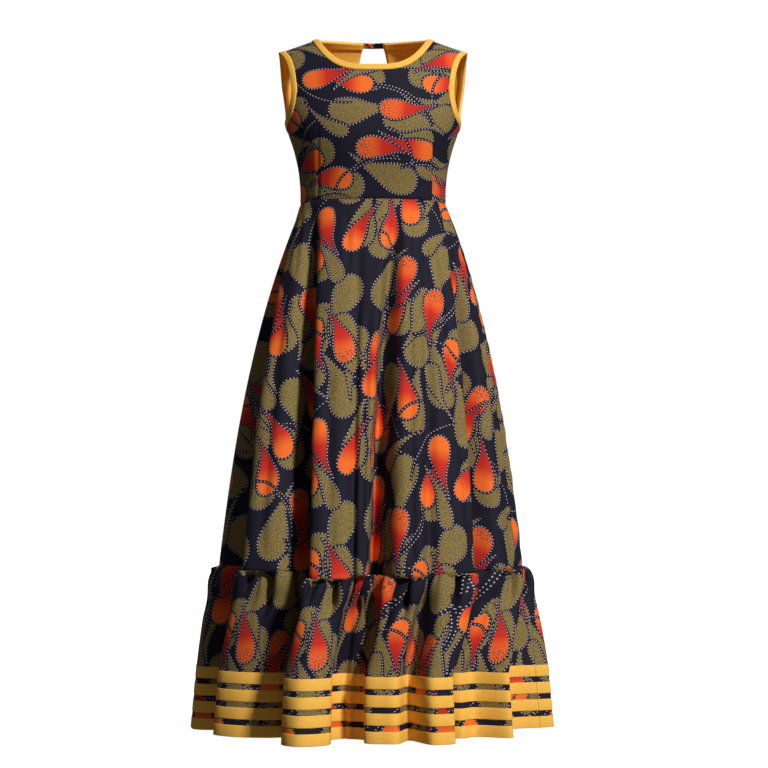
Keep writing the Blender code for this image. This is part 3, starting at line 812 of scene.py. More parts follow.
@dataclass(frozen=True)
class Torso:
    """The bodice's outer face on a general figure."""

    sections: tuple[Section, ...] = (
        Section(-0.330, 0.1460, 0.106, 0.088, 0.94),
        Section(-0.300, 0.1460, 0.112, 0.091, 0.93),
        Section(-0.260, 0.1500, 0.123, 0.095, 0.90),
        Section(-0.220, 0.1590, 0.133, 0.101, 0.87),
        Section(-0.190, 0.1690, 0.135, 0.105, 0.85),
        Section(-0.160, 0.1785, 0.131, 0.109, 0.86),
        Section(-0.115, 0.1920, 0.116, 0.110, 0.89),
        Section(-0.066, 0.2030, 0.100, 0.104, 0.92),
        Section(0.045, 0.2220, 0.078, 0.090, 0.94),
    )
    front_roll: Roll = Roll(-0.120, 2.6)
    back_roll: Roll = Roll(-0.090, 3.0)
    shoulder_slope: float = 0.350
    shoulder_zero: float = 0.1285  # how far out the shoulder seams' line crosses the origin's level
    nape_round: float = 0.020
    measure_steps: int = 16  # straight steps that a length on the face is measured in

    def profile(self, size: str) -> Profile:
        """One size of the sections as a smooth curve over height."""
        return Profile(tuple(s.height for s in self.sections), tuple(getattr(s, size) for s in self.sections))

    def shoulder_height(self, x: Numbers) -> Array:
        """Height of the line where front and back meet above the bodice."""
        return self.shoulder_slope * (self.shoulder_zero - np.hypot(x, self.nape_round))

    def point(self, degrees: Numbers, height: Numbers) -> Array:
        """Points of the outer face.

        Args:
            degrees: angle round from the centre front.
            height: level.

        Returns:
            (..., 3) points.
        """
        degrees, height = np.broadcast_arrays(np.asarray(degrees, float), np.asarray(height, float))
        sine, cosine = np.sin(np.radians(degrees)), np.cos(np.radians(degrees))
        corner = self.profile("corner")(height)
        front = cosine >= 0
        depth = np.where(front, self.profile("front")(height), self.profile("back")(height))
        x = self.profile("half_width")(height) * np.copysign(np.abs(sine) ** corner, sine)
        start = np.where(front, self.front_roll.start, self.back_roll.start)
        power = np.where(front, self.front_roll.power, self.back_roll.power)
        # Rounded, so that front and back meet exactly on the shoulder line
        share = np.clip((height - start) / (self.shoulder_height(x) - start), 0.0, 1.0).round(6)
        depth = depth * np.sqrt(np.maximum(0.0, 1 - share**power))
        y = -np.copysign(depth * np.abs(cosine) ** corner, cosine)
        return np.stack([x, y, height], axis=-1)

    def angle_at(self, x: Numbers, height: Numbers, back: bool) -> Array:
        """Where the outer face has this x.

        Args:
            x: distance from the centre line, below 0 on the wearer's right.
            height: level.
            back: whether to look on the back.

        Returns:
            Degrees round from the centre front.
        """
        corner = self.profile("corner")(height)
        share = np.minimum(1.0, np.abs(x) / self.profile("half_width")(height)) ** (1 / corner)
        angle = np.degrees(np.arcsin(share))
        return np.copysign(180 - angle if back else angle, x)

    def flat_place(self, x: Array, height: Array, back: bool, foot: float) -> Array:
        """Where points of the outer face lie on flat cloth.

        Args:
            x: the points' x.
            height: their heights.
            back: whether they are on the back.
            foot: the height that the cloth's length is measured from.

        Returns:
            (..., 2): distance round from the centre line, and distance up from the foot.
        """
        steps = self.measure_steps
        angle = self.angle_at(x, height, back)
        centre = 180.0 if back else 0.0
        turn = np.where(angle < 0, angle + 360, angle) - centre if back else angle
        round_it = np.zeros_like(angle)
        up = np.zeros_like(angle)
        for k in range(steps):
            a, b = (self.point(centre + turn * s / steps, height) for s in (k, k + 1))
            round_it += np.linalg.norm(b - a, axis=-1)
            a, b = (self.point(angle, foot + (height - foot) * s / steps) for s in (k, k + 1))
            up += np.linalg.norm(b - a, axis=-1)
        return np.stack([np.copysign(round_it, x), up], axis=-1)


@dataclass(frozen=True)
class Armhole:
    """One point of the armhole's edge, by its share of the armhole's depth."""

    depth: float
    front: float  # how far from the shoulder's end (0) to the side seam (1) it lies, on the front
    back: float  # and on the back
    round: float  # share of an inset that runs round the body there


@dataclass(frozen=True)
class KeyholeLevel:
    """Half the keyhole's width at one height."""

    height: float
    half_width: float


@dataclass(frozen=True)
class Dart:
    """A sewn fold that shapes the bodice from the waist up to the bust."""

    x: float
    top: float
    intake: float  # cloth taken in at the waist
    groove: float = 0.0012
    half_width: float = 0.0022
    fade: float = 0.020  # length over which the groove comes below its top
    welt: float = 0.6  # how far the cloth stands out beside the groove, as a share of the groove
    welt_place: float = 3.0  # half widths from the groove
    welt_spread: float = 3.0
    pull_reach: float = 0.075  # how far above the dart the columns still bend to it
    pull_fade: float = 0.070
    pull_power: float = 6.0  # how late up the column they let go


@dataclass(frozen=True)
class BodiceCut:
    """Outline of the bodice: column j of a half runs from the centre along neck, shoulder and armhole."""

    cut: Cut
    torso: Torso
    neck_half: float = 0.112
    neck_front_drop: float = 0.0620
    neck_back_rise: float = 0.010
    neck_curve: float = 3.4
    shoulder_half: float = 0.189
    shoulder_cut: float = 1.35  # the armhole's binding crosses the shoulder seam at a slant
    underarm_drop: float = 0.172
    binding_width: float = 0.011
    neck_columns: float = 6.0
    shoulder_columns: float = 1.0
    armhole_columns: float = 7.0
    neck_bow: float = 4.0  # how late up a column it leans out to the neck
    armhole_bow: float = 9.0  # and to the armhole
    neck_fan: float = 33.0  # degrees at the waist that the neck's columns start in
    shoulder_fan: float = 4.0
    armhole_fan_power: float = 1.5  # crowds the armhole's columns towards its front at the waist
    armhole_power: float = 1.2  # crowds them towards its top along the armhole
    column_steps: int = 60  # straight steps that a dart's own column is read in
    halvings: int = 40  # of the search for a column
    armhole_radius: float = 0.128
    keyhole_share: float = 0.665  # of the centre back column's height, where the two backs part
    armhole: tuple[Armhole, ...] = (
        Armhole(0.00, 0.00, 0.00, 0.95),
        Armhole(0.10, -0.22, 0.03, 1.00),
        Armhole(0.25, -0.33, 0.08, 1.00),
        Armhole(0.42, -0.36, 0.14, 1.00),
        Armhole(0.60, -0.31, 0.19, 0.95),
        Armhole(0.77, -0.10, 0.31, 0.85),
        Armhole(0.90, 0.27, 0.56, 0.55),
        Armhole(1.00, 1.00, 1.00, 0.00),
    )
    keyhole: tuple[KeyholeLevel, ...] = (  # above its foot, where it has no width
        KeyholeLevel(-0.109, 0.0120),
        KeyholeLevel(-0.096, 0.0250),
        KeyholeLevel(-0.065, 0.0335),
        KeyholeLevel(-0.030, 0.0295),
        KeyholeLevel(0.012, 0.0195),
    )

    @property
    def columns(self) -> float:
        """The last column's number."""
        return self.neck_columns + self.shoulder_columns + self.armhole_columns

    @property
    def armhole_start(self) -> float:
        """The column at the shoulder's end."""
        return self.neck_columns + self.shoulder_columns

    def keyhole_half(self, height: Numbers) -> Array:
        """Half the keyhole's width.

        Args:
            height: level.

        Returns:
            The half width there, 0 below the keyhole.
        """
        top = self.neck_back_rise - self.binding_width
        foot = self.cut.waist_z + self.keyhole_share * (top - self.cut.waist_z)
        heights = (foot, *(level.height for level in self.keyhole))
        widths = Profile(heights, (0.0, *(level.half_width for level in self.keyhole)))(height)
        return np.where(np.asarray(height) > foot, widths, 0.0)

    def keyhole_share_at(self, j: float) -> float:
        """How far column j moves out for the keyhole, as a share; it fades well before the shoulder seam."""
        return max(0.0, 1 - j / self.neck_columns) ** 2

    def edge(self, j: float, back: bool, inset: float) -> tuple[float, float]:
        """A point on the edge of half a bodice, or inset from it.

        Args:
            j: the column that ends there, whole or not.
            back: whether it is on the back.
            inset: distance in from the edge.

        Returns:
            Its x, on the +X side, and its height.
        """
        neck_x, tip_x = self.neck_half + inset, self.shoulder_half - inset * self.shoulder_cut
        if j <= self.neck_columns:
            share = math.sin(math.pi / 2 * j / self.neck_columns)
            end = float(self.torso.shoulder_height(neck_x))
            middle = (self.neck_back_rise if back else -self.neck_front_drop) - inset
            return neck_x * share, end + (middle - end) * (1 - share**self.neck_curve)
        if j <= self.armhole_start:
            x = neck_x + (tip_x - neck_x) * (j - self.neck_columns) / self.shoulder_columns
            return x, float(self.torso.shoulder_height(x))
        share = math.sin(math.pi / 2 * (j - self.armhole_start) / self.armhole_columns) ** self.armhole_power
        tip = float(self.torso.shoulder_height(tip_x))
        height = tip + (-self.underarm_drop - inset - tip) * share
        depths = tuple(row.depth for row in self.armhole)
        lie = Profile(depths, tuple(row.back if back else row.front for row in self.armhole))(share)
        end = self.torso.shoulder_height(self.shoulder_half)
        start = float(self.torso.angle_at(self.shoulder_half, end, False))
        angle = start + (90 - start) * float(lie)
        turned = Profile(depths, tuple(row.round for row in self.armhole))(share)
        angle -= math.degrees(inset / self.armhole_radius) * float(turned)
        return float(self.torso.point(angle, height)[0]), height

    def waist_angle(self, j: float) -> float:
        """Where a column starts at the waist.

        Args:
            j: the column's number, whole or not.

        Returns:
            Degrees round from the centre.
        """
        if j <= self.neck_columns:
            return self.neck_fan * j / self.neck_columns
        if j <= self.armhole_start:
            return self.neck_fan + self.shoulder_fan * (j - self.neck_columns) / self.shoulder_columns
        start = self.neck_fan + self.shoulder_fan
        share = (j - self.armhole_start) / self.armhole_columns
        return start + (90 - start) * share**self.armhole_fan_power

    def column_at(self, x: float) -> float:
        """The column that starts at a place at the waist.

        Args:
            x: the place's distance from the centre front.

        Returns:
            The column's number, not a whole one as a rule.
        """
        wanted = float(self.torso.angle_at(x, self.cut.waist_z, False))
        low, high = 0.0, self.columns
        for _ in range(self.halvings):
            middle = (low + high) / 2
            low, high = (middle, high) if self.waist_angle(middle) < wanted else (low, middle)
        return low

    def column(self, j: float, back: bool, shares: Array, dart: Dart | None) -> Array:
        """One column of half a bodice's outer face, from the waist up to the bindings' inner edges.

        Args:
            j: its number, whole or not.
            back: whether it is on the back.
            shares: of its height, where points go.
            dart: a dart that the columns beside it bend to.

        Returns:
            (len(shares), 3) points on the +X side.
        """
        angle, height = self.column_angle(j, back, shares)
        if dart:
            at = self.column_at(dart.x)
            wanted = self.torso.angle_at(dart.x, height, False)
            home, home_height = self.column_angle(at, back, np.linspace(0.0, 1.0, self.column_steps))
            pull = wanted - np.interp(height, home_height, home)
            pull *= smooth_step((dart.top + dart.pull_reach - height) / dart.pull_fade)
            pull *= 1 - shares**dart.pull_power
            angle = angle + pull * (j / at if j <= at else (self.columns - j) / (self.columns - at))
        x = self.torso.point(angle, height)[:, 0]
        if back:
            x = x + self.keyhole_half(height) * self.keyhole_share_at(j)
        return self.torso.point(self.torso.angle_at(x, height, back), height)

    def column_angle(self, j: float, back: bool, shares: Array) -> tuple[Array, Array]:
        """One column before any dart.

        Args:
            j: its number, whole or not.
            back: whether it is on the back.
            shares: of its height, where points go.

        Returns:
            Degrees round from the centre, and heights.
        """
        top_x, top = self.edge(j, back, self.binding_width)
        start = self.waist_angle(j)
        fan = float(self.torso.angle_at(top_x, top, False)) - start
        bow = self.neck_bow if j <= self.neck_columns else self.armhole_bow
        return start + fan * shares**bow, self.cut.waist_z + (top - self.cut.waist_z) * shares

    def strip(self, columns: Sequence[float], back: bool, insets: Sequence[float]) -> Grid:
        """The strip under a binding.

        Args:
            columns: the numbers of its columns.
            back: whether it is on the back.
            insets: distances in from the edge.

        Returns:
            Its points, columns by insets, on the +X side.
        """
        grid = np.zeros((len(columns), len(insets), 3))
        for i, j in enumerate(columns):
            for k, inset in enumerate(insets):
                x, height = self.edge(j, back, inset)
                if back:
                    x += float(self.keyhole_half(height)) * self.keyhole_share_at(j)
                grid[i, k] = self.torso.point(self.torso.angle_at(x, height, back), height)
        return grid


@dataclass(frozen=True)
class Panel:
    """One cut panel of the bodice or of its lining."""

    name: str
    sides: tuple[int, ...]  # the halves that it covers: -1 is the wearer's right, +1 the left
    back: bool
    cut: tuple[float, float]  # flat width and length
    area: float  # of the flat cut


@dataclass
class Bodice:
    """The fitted bodice: a front and two backs, their linings, the bindings and the back tab."""

    cut: Cut
    torso: Torso
    printed: Cloth
    yellow: Cloth
    column_step: float = 0.30  # columns between grid lines
    foot_shares: tuple[float, ...] = (0.0, 0.003, 0.008, 0.015, 0.025)  # lines close above the waist seam
    lower_share: float = 0.04  # where the even grid lines start
    lower_lines: int = 48  # from there up to the keyhole's foot
    upper_lines: int = 40
    upper_crowd: float = 1.25  # crowds the upper lines towards the keyhole's foot
    strip_lines: int = 5  # across the strip under a binding
    back_split: float = 2.0  # columns beyond the shoulder's end where a back's two grids meet
    darts: tuple[Dart, ...] = (Dart(0.107, -0.180, 0.026), Dart(0.118, -0.184, 0.026))  # wearer's right, left
    binding_gap: float = 0.0005
    trim: float = 0.0010  # thickness of the solids' bindings and tab
    binding_sink: float = 0.45  # how much closer to the cloth the binding's sewn edge lies
    binding_sink_width: float = 0.3  # as a share of the binding's width
    binding_turns: tuple[float, ...] = (25, 50, 75, 105, 130, 155)  # degrees round the edge
    turn_under: float = 0.0012  # how far the cloth turns in at the waist seam
    turn_under_height: float = 0.0022
    neck_binding_cut: tuple[float, float] = (0.80, 0.027)
    armhole_binding_cut: tuple[float, float] = (0.50, 0.026)
    tab_width: float = 0.0095
    tab_overlap: float = 0.012
    tab_cloth: float = 1.2  # cloth in the tab's width, turned-in edges included, as a share of it
    tab_lines: tuple[int, int] = (25, 5)  # along it and across it
    tab_print: tuple[float, float] = (0.06, 0.05)  # where the tab is cut from the print
    panels: tuple[Panel, ...] = (
        Panel("front", (-1, 1), False, (0.520, 0.385), 0.136),
        Panel("back_left", (-1,), True, (0.250, 0.395), 0.071),
        Panel("back_right", (1,), True, (0.250, 0.395), 0.071),
    )

    @property
    def outline(self) -> BodiceCut:
        """The outline that the shared sizes give."""
        return BodiceCut(self.cut, self.torso)

    def shares(self) -> Array:
        """Where the grid lines lie up a column, close together near the waist seam and the keyhole.

        Returns:
            Shares of the column's height, from 0 to 1.
        """
        key = self.outline.keyhole_share
        lower = np.linspace(self.lower_share, key, self.lower_lines)
        upper = key + (1 - key) * np.linspace(0.0, 1.0, self.upper_lines)[1:] ** self.upper_crowd
        return np.concatenate([self.foot_shares, lower, upper])

    def column_numbers(self, first: float, last: float) -> list[float]:
        """Where the grid lines lie round the bodice, with one on each corner of the outline.

        Args:
            first: the first column.
            last: the last one.

        Returns:
            Column numbers from first to last.
        """
        corners = [c for c in (self.outline.neck_columns, self.outline.armhole_start) if first < c < last]
        stops = [first, *corners, last]
        numbers = [first]
        for a, b in zip(stops, stops[1:]):
            count = max(2, math.ceil((b - a) / self.column_step))
            numbers += list(a + (b - a) * np.arange(1, count + 1) / count)
        return numbers

    def dart(self, side: int, back: bool) -> Dart | None:
        """The dart of one half of the front; a back has none."""
        return None if back else self.darts[0 if side < 0 else 1]

    def half(self, side: int, back: bool) -> dict[str, Grid]:
        """The grids of half a front or of one back.

        Args:
            side: -1 for the wearer's right, +1 for the left.
            back: whether it is a back.

        Returns:
            Points by name: the inner and outer panel, and the strips under the bindings.
        """
        outline, shares, dart = self.outline, self.shares(), self.dart(side, back)
        split = outline.column_at(dart.x) if dart else outline.armhole_start + self.back_split
        insets = np.linspace(outline.binding_width, 0.0, self.strip_lines)
        inner, outer = self.column_numbers(0.0, split), self.column_numbers(split, outline.columns)
        neck = self.column_numbers(0.0, outline.neck_columns)
        armhole = sorted({*self.column_numbers(outline.armhole_start, split), *outer})
        grids = {
            "inner": [outline.column(j, back, shares, dart) for j in inner],
            "outer": [outline.column(j, back, shares, dart) for j in outer],
            "neck": outline.strip(neck, back, insets),
            "armhole": outline.strip(armhole, back, insets),
        }
        return {name: np.array(grid) * (side, 1, 1) for name, grid in grids.items()}

    def flat(self, grid: Grid, back: bool, dart: Dart | None) -> Grid:
        """Where a grid lies on the flat cloth; the print lies across the bodice, and a dart steps it.

        Args:
            grid: its points.
            back: whether it is on the back.
            dart: the dart between it and the centre, if there is one.

        Returns:
            Flat cloth coordinates.
        """
        place = self.torso.flat_place(grid[..., 0], grid[..., 2], back, self.cut.waist_z)
        if dart:
            open_share = smooth_step((dart.top - grid[..., 2]) / (dart.top - self.cut.waist_z))
            place[..., 0] += np.sign(grid[..., 0]) * dart.intake * open_share
        return np.stack([place[..., 1], -place[..., 0]], axis=-1)

    def grooves(self, grid: Grid) -> Array:
        """How far the two darts move the front in.

        Args:
            grid: its points.

        Returns:
            A distance for each point, below 0 where the cloth stands out beside a dart.
        """
        inward = np.zeros(grid.shape[:2])
        for dart, way in zip(self.darts, (-1, 1)):
            off = (grid[..., 0] - way * dart.x) / dart.half_width
            deep = dart.groove * smooth_step((dart.top - grid[..., 2]) / dart.fade)
            inward += deep * np.exp(-(off**2))
            inward -= dart.welt * deep * np.exp(-((np.abs(off) - dart.welt_place) ** 2) / dart.welt_spread)
        return inward

    def dressed(self, grid: Grid, normals: Grid, inward: Array, panel: Panel) -> Grid:
        """A grid of a panel, moved in, with its seam gaps.

        Args:
            grid: its points on the outer face.
            normals: their normals.
            inward: how far each point moves in.
            panel: what it is part of.

        Returns:
            The moved points.
        """
        moved = grid - normals * inward[..., None]
        away = 1 if panel.back else -1
        moved[..., 1] += away * self.cut.gap / 2 * (np.abs(grid[..., 1]) < WELD)
        if panel.back:
            moved[..., 0] += panel.sides[0] * self.cut.back_gap / 2 * (np.abs(grid[..., 0]) < WELD)
        at_seam = grid[..., 2] - self.cut.waist_z < WELD
        moved[..., 2] = np.where(at_seam, self.cut.waist_z + self.cut.gap / 2, moved[..., 2])
        return moved

    def panel_pieces(self, panel: Panel, halves: dict, normals: dict) -> list[Object]:
        """One printed panel and its lining.

        Args:
            panel: the panel.
            halves: grids by half, (side, back), and name.
            normals: theirs, by half and name.

        Returns:
            The two pieces.
        """
        printed, lining = [], []
        for side in panel.sides:
            half = (side, panel.back)
            for name, grid in halves[half].items():
                dart = self.dart(side, panel.back) if name == "outer" else None
                flat = self.flat(grid, panel.back, dart)
                lining_depth = np.full(grid.shape[:2], self.cut.wall + self.cut.lining_gap)
                above = grid[..., 2] - self.cut.waist_z
                print_depth = self.turn_under * np.exp(-above / self.turn_under_height)
                if not panel.back:
                    print_depth += self.grooves(grid)
                for patches, depth in ((printed, print_depth), (lining, lining_depth)):
                    patches.append(Patch(self.dressed(grid, normals[half, name], depth, panel), flat))
        return [
            Piece(f"{kind}_{panel.name}", patches, cloth, panel.cut, panel.area).build()
            for kind, patches, cloth in (("bodice", printed, self.printed), ("lining", lining, self.yellow))
        ]

    def build(self) -> list[Object]:
        """Make the bodice.

        Returns:
            Its pieces.
        """
        halves = {(side, back): self.half(side, back) for side in (-1, 1) for back in (False, True)}
        keys = [(half, name) for half in halves for name in halves[half]]
        normals = dict(zip(keys, grid_normals([halves[half][name] for half, name in keys])))
        for (half, name), grid in normals.items():
            on_side = np.abs(halves[half][name][..., 1]) < WELD
            grid[..., 1] = np.where(on_side, 0.0, grid[..., 1])
            grid[:] = unit(grid)
        made = []
        for panel in self.panels:
            made += self.panel_pieces(panel, halves, normals)
        made += self.bindings(halves, normals)
        made.append(self.tab())
        return made

    def bound(self, grid: Grid, normals: Grid) -> Patch:
        """A binding folded over one strip: up the outside, round the edge and down the inside.

        Args:
            grid: the strip's columns by insets, the last inset on the edge.
            normals: its outward normals.

        Returns:
            The binding's patch.
        """
        stack = self.cut.wall + self.cut.lining_gap + self.cut.lining_wall
        lift = self.binding_gap + self.trim
        edge, inner = grid[:, -1], grid[:, 0]
        out_normal = normals[:, -1]
        outward = edge - inner
        outward = unit(outward - out_normal * (outward * out_normal).sum(-1, keepdims=True))
        rows = []
        for k, share in enumerate(np.linspace(0.0, 1.0, grid.shape[1])):
            sunk = self.binding_sink * (1 - smooth_step(share / self.binding_sink_width))
            rows.append(grid[:, k] + normals[:, k] * (lift * (1 - sunk)))
        for turn in np.radians(self.binding_turns):
            out_by = -stack / 2 + (lift + stack / 2) * math.cos(turn)
            rows.append(edge + outward * (lift * math.sin(turn)) + out_normal * out_by)
        for k in range(grid.shape[1] - 1, -1, -1):
            rows.append(grid[:, k] - normals[:, k] * (stack + lift))
        points = np.stack(rows, axis=1)
        along = steps_along(points[:, grid.shape[1] : grid.shape[1] + 1], 0)
        across = steps_along(points, 1)
        return Patch(points, np.stack([np.broadcast_to(along, across.shape), across], axis=-1))

    def bindings(self, halves: dict, normals: dict) -> list[Object]:
        """The neck binding, which ends at the keyhole, and a binding round each armhole.

        Args:
            halves: grids by half, (side, back), and name.
            normals: theirs, by half and name.

        Returns:
            The three pieces.
        """
        cloth = replace(self.yellow, thickness=self.cut.cotton)
        pieces = [("neck_binding", "neck", list(halves), self.neck_binding_cut)]
        for side, name in ((-1, "left"), (1, "right")):
            around = [(side, False), (side, True)]
            pieces.append((f"armhole_binding_{name}", "armhole", around, self.armhole_binding_cut))
        made = []
        for node, strip, around, cut in pieces:
            patches = [self.bound(halves[half][strip], normals[half, strip]) for half in around]
            made.append(Piece(node, patches, cloth, cut, held="folded").build())
        return made

    def tab(self) -> Object:
        """The short printed strip that joins the two backs above the keyhole.

        Returns:
            The piece.
        """
        outline = self.outline
        lift = self.binding_gap + 2 * self.trim + self.cut.gap
        half = float(outline.keyhole_half(outline.neck_back_rise)) + self.tab_overlap
        top = outline.edge(0.0, True, 0.0)[1]
        across = np.linspace(-half, half, self.tab_lines[0])
        down = np.linspace(top - self.tab_width, top, self.tab_lines[1])
        x, height = np.meshgrid(across, down, indexing="ij")
        points = self.torso.point(self.torso.angle_at(x, height, True), height)
        slope = points[:, -1] - points[:, 0]
        out = unit(np.stack([np.zeros(len(x)), slope[:, 2], -slope[:, 1]], axis=-1))
        flat = np.stack([x, height], axis=-1) + self.tab_print
        cloth = replace(self.printed, thickness=self.trim)
        size = (2 * half, self.tab_width * self.tab_cloth)
        patch = Patch(points + out[:, None, :] * lift, flat)
        return Piece("back_neck_tab", [patch], cloth, size, held="stretched").build()


# -------- skirt and ruffle


BACK_FOLDS = range(7, 14)  # the folds that lie wholly on the back


@dataclass(frozen=True)
class WaistFold:
    """Degrees round at the waist seam of one fold's left and right shoulders and of the valley after it."""

    left: float
    right: float
    valley: float


@dataclass(frozen=True)
class Fold:
    """The same lower down, each with its distance from the axis, and how deep its middle is troughed."""

    left: float
    left_out: float
    right: float
    right_out: float
    valley: float
    valley_out: float
    trough: float = 0.0


@dataclass(frozen=True)
class Crease:
    """A soft trough in the cloth, or a ridge where its depth is negative, between two places of the form.

    Places count stations round the form: each fold has four, and the first of them is its left shoulder.
    """

    top_place: float
    foot_place: float
    top: float  # share of the piece's length where it starts
    foot: float  # and ends
    depth: float
    width: float
    beside: float = 0.35  # how far the cloth stands out on either side, as a share of the depth
    beside_place: float = 2.0  # widths from the crease


@dataclass(frozen=True)
class FoldedForm:
    """The folded form of the skirt and the ruffle, as rings in plan."""

    cut: Cut
    torso: Torso
    waist: tuple[WaistFold, ...] = (
        WaistFold(-112, -100, -95),
        WaistFold(-88, -64, -53),
        WaistFold(-41, -14, -8),
        WaistFold(-3, 12, 18),
        WaistFold(25, 36, 42),
        WaistFold(48, 62, 68),
        WaistFold(72, 82, 86),
        WaistFold(90, 98, 105),
        WaistFold(112, 122, 128),
        WaistFold(134, 146, 152),
        WaistFold(158, 170, 177),
        WaistFold(184, 196, 202),
        WaistFold(208, 222, 228),
        WaistFold(234, 240, 244),
    )
    seam: tuple[Fold, ...] = (
        Fold(-88, 0.304, -79, 0.300, -68, 0.236),
        Fold(-50, 0.322, -38, 0.290, -30, 0.207),
        Fold(-22, 0.307, -10, 0.292, -7.5, 0.277),
        Fold(-5.5, 0.286, -2.5, 0.283, 0, 0.198),
        Fold(9.5, 0.277, 19, 0.286, 23, 0.272),
        Fold(27, 0.287, 43, 0.285, 50, 0.230),
        Fold(57, 0.290, 73, 0.293, 78, 0.262),
        Fold(86, 0.295, 97, 0.294, 104, 0.238),
        Fold(112, 0.292, 126, 0.290, 134, 0.212),
        Fold(142, 0.288, 156, 0.290, 161, 0.250),
        Fold(167, 0.286, 180, 0.287, 188, 0.206),
        Fold(195, 0.286, 208, 0.289, 215, 0.236),
        Fold(222, 0.290, 236, 0.292, 244, 0.214),
        Fold(252, 0.294, 262, 0.299, 267, 0.256),
    )
    hem: tuple[Fold, ...] = (
        Fold(-90, 0.357, -79, 0.352, -71, 0.272),
        Fold(-65, 0.338, -43, 0.270, -39, 0.214, trough=-0.012),
        Fold(-29, 0.346, -14.7, 0.316, -19, 0.249, trough=-0.024),
        Fold(-14, 0.218, -7.7, 0.224, -3.4, 0.236),
        Fold(-2.5, 0.284, 9, 0.296, 16, 0.250),
        Fold(20, 0.324, 28, 0.328, 33, 0.240),
        Fold(39.5, 0.268, 53, 0.333, 68, 0.262, trough=0.040),
        Fold(80, 0.290, 87, 0.359, 105, 0.272),
        Fold(112, 0.334, 126, 0.346, 131, 0.236),
        Fold(141, 0.322, 154, 0.338, 159, 0.248),
        Fold(167, 0.326, 180, 0.336, 186, 0.234),
        Fold(194, 0.324, 208, 0.342, 213, 0.246),
        Fold(222, 0.336, 237, 0.344, 243, 0.242),
        Fold(251, 0.328, 262, 0.352, 266, 0.286),
    )
    # How far the ruffle's seam lies above its level at each fold; a valley's is halfway to the next fold's
    seam_lifts: tuple[float, ...] = (
        0.002, 0.000, -0.013, -0.006, -0.010, -0.006, -0.002,
        0.001, -0.008, -0.003, -0.012, -0.005, -0.009, -0.002,
    )
    seam_lift_power: float = 3.0  # how late down the skirt the seam's waves begin
    each: int = 4  # stations a fold
    side_right: int = 29  # station of the side seam on the +X side
    side_left: int = -1
    centre_front: float = 12.4
    centre_back: float = 41.0
    bell_share: float = 0.45  # share of the skirt's flare that comes early, below the waist
    bell_power: float = 3.0
    crest_bulge: float = 0.10  # how far a fold's middle stands out, as a share of its width
    spring: float = 0.50  # how early below its seam the ruffle stands out: 1 is evenly, 0 at once
    dent: float = 0.020  # how far gathering pulls a fold's middle in
    dent_full: float = 0.08  # shares of the way down to the bands where it is deepest
    dent_gone: float = 0.55  # and gone
    band_zone: float = 0.123  # height of the stretch that the bands lie on
    band_flare: float = 0.030  # how much wider the hem is than the top of that stretch

    @property
    def places(self) -> int:
        """How many stations there are round the form."""
        return self.each * len(self.seam)

    @staticmethod
    def table(folds: Sequence[Fold]) -> Array:
        """Folds as an array: a row for each, with its seven sizes in order."""
        return np.array([astuple(fold) for fold in folds])

    def panel_spans(self) -> tuple[tuple[str, int, int], ...]:
        """Front and back, each with the stations of its two side seams."""
        left, right = self.side_left, self.side_right
        return ("front", left, right), ("back", right, left + self.places)

    def stations(self, folds: Array, dent: float = 0.0) -> Array:
        """The plan stations of every fold.

        Args:
            folds: a row of seven sizes for each fold.
            dent: how far gathering pulls a fold's middle in.

        Returns:
            (places, 2) points: left shoulder, middle, right shoulder and valley of each fold.
        """
        corners = []
        for k in (0, 2, 4):
            turn, out = np.radians(folds[:, k]), folds[:, k + 1]
            corners.append(np.stack([out * np.sin(turn), -out * np.cos(turn)], axis=1))
        left, right, valley = corners
        middle = (left + right) / 2
        width = np.linalg.norm(right - left, axis=1)
        trough = folds[:, 6]
        middle += unit(middle) * (self.crest_bulge * width - trough - dent)[:, None]
        return np.stack([left, middle, right, valley], axis=1).reshape(-1, 2)

    def waist_stations(self) -> Array:
        """Where each station of the skirt's folds starts at the waist seam, as plan points."""
        degrees = [d for f in self.waist for d in (f.left, (f.left + f.right) / 2, f.right, f.valley)]
        return self.torso.point(np.array(degrees), self.cut.waist_z)[:, :2]

    def waves(self, columns_each: int) -> Array:
        """How far the ruffle's seam lies above its level.

        Args:
            columns_each: columns between two stations.

        Returns:
            A height for each column round the form.
        """
        crests = np.array(self.seam_lifts)
        valleys = (crests + np.roll(crests, -1)) / 2
        lifts = np.stack([crests, crests, crests, valleys], axis=1).reshape(-1)
        stations = np.arange(self.places + 1)
        return np.interp(np.arange(self.places * columns_each) / columns_each, stations, [*lifts, lifts[0]])

    def skirt_ring(self, share: float, columns_each: int) -> Array:
        """The skirt's outer face at one level.

        Args:
            share: how far down its length.
            columns_each: columns between two stations.

        Returns:
            Plan points, one for each column.
        """
        flare = (1 - self.bell_share) * share + self.bell_share * (1 - (1 - share) ** self.bell_power)
        top, foot = self.waist_stations(), self.stations(self.table(self.seam))
        return closed_curve(top + (foot - top) * flare, columns_each)

    def ruffle_ring(self, rise: float, columns_each: int) -> Array:
        """The ruffle's outer face at one level.

        Args:
            rise: height above the hem.
            columns_each: columns between two stations.

        Returns:
            Plan points, one for each column.
        """
        hem = self.table(self.hem)
        if rise <= self.band_zone:
            narrower = 1 - self.band_flare * rise / self.band_zone
            return closed_curve(self.stations(hem) * narrower, columns_each)
        down = 1 - (rise - self.band_zone) / (self.cut.ruffle_z - self.cut.hem_z - self.band_zone)
        seam = self.table(self.seam)
        folds = seam + (hem - seam) * down
        outs = slice(1, None, 2)
        further = hem[:, outs] * (1 - self.band_flare) - seam[:, outs]
        folds[:, outs] = seam[:, outs] + further * down**self.spring
        dent = self.dent * float(smooth_step(down / self.dent_full))
        dent *= 1 - float(smooth_step((down - self.dent_full) / (self.dent_gone - self.dent_full)))
        return closed_curve(self.stations(folds, dent), columns_each)


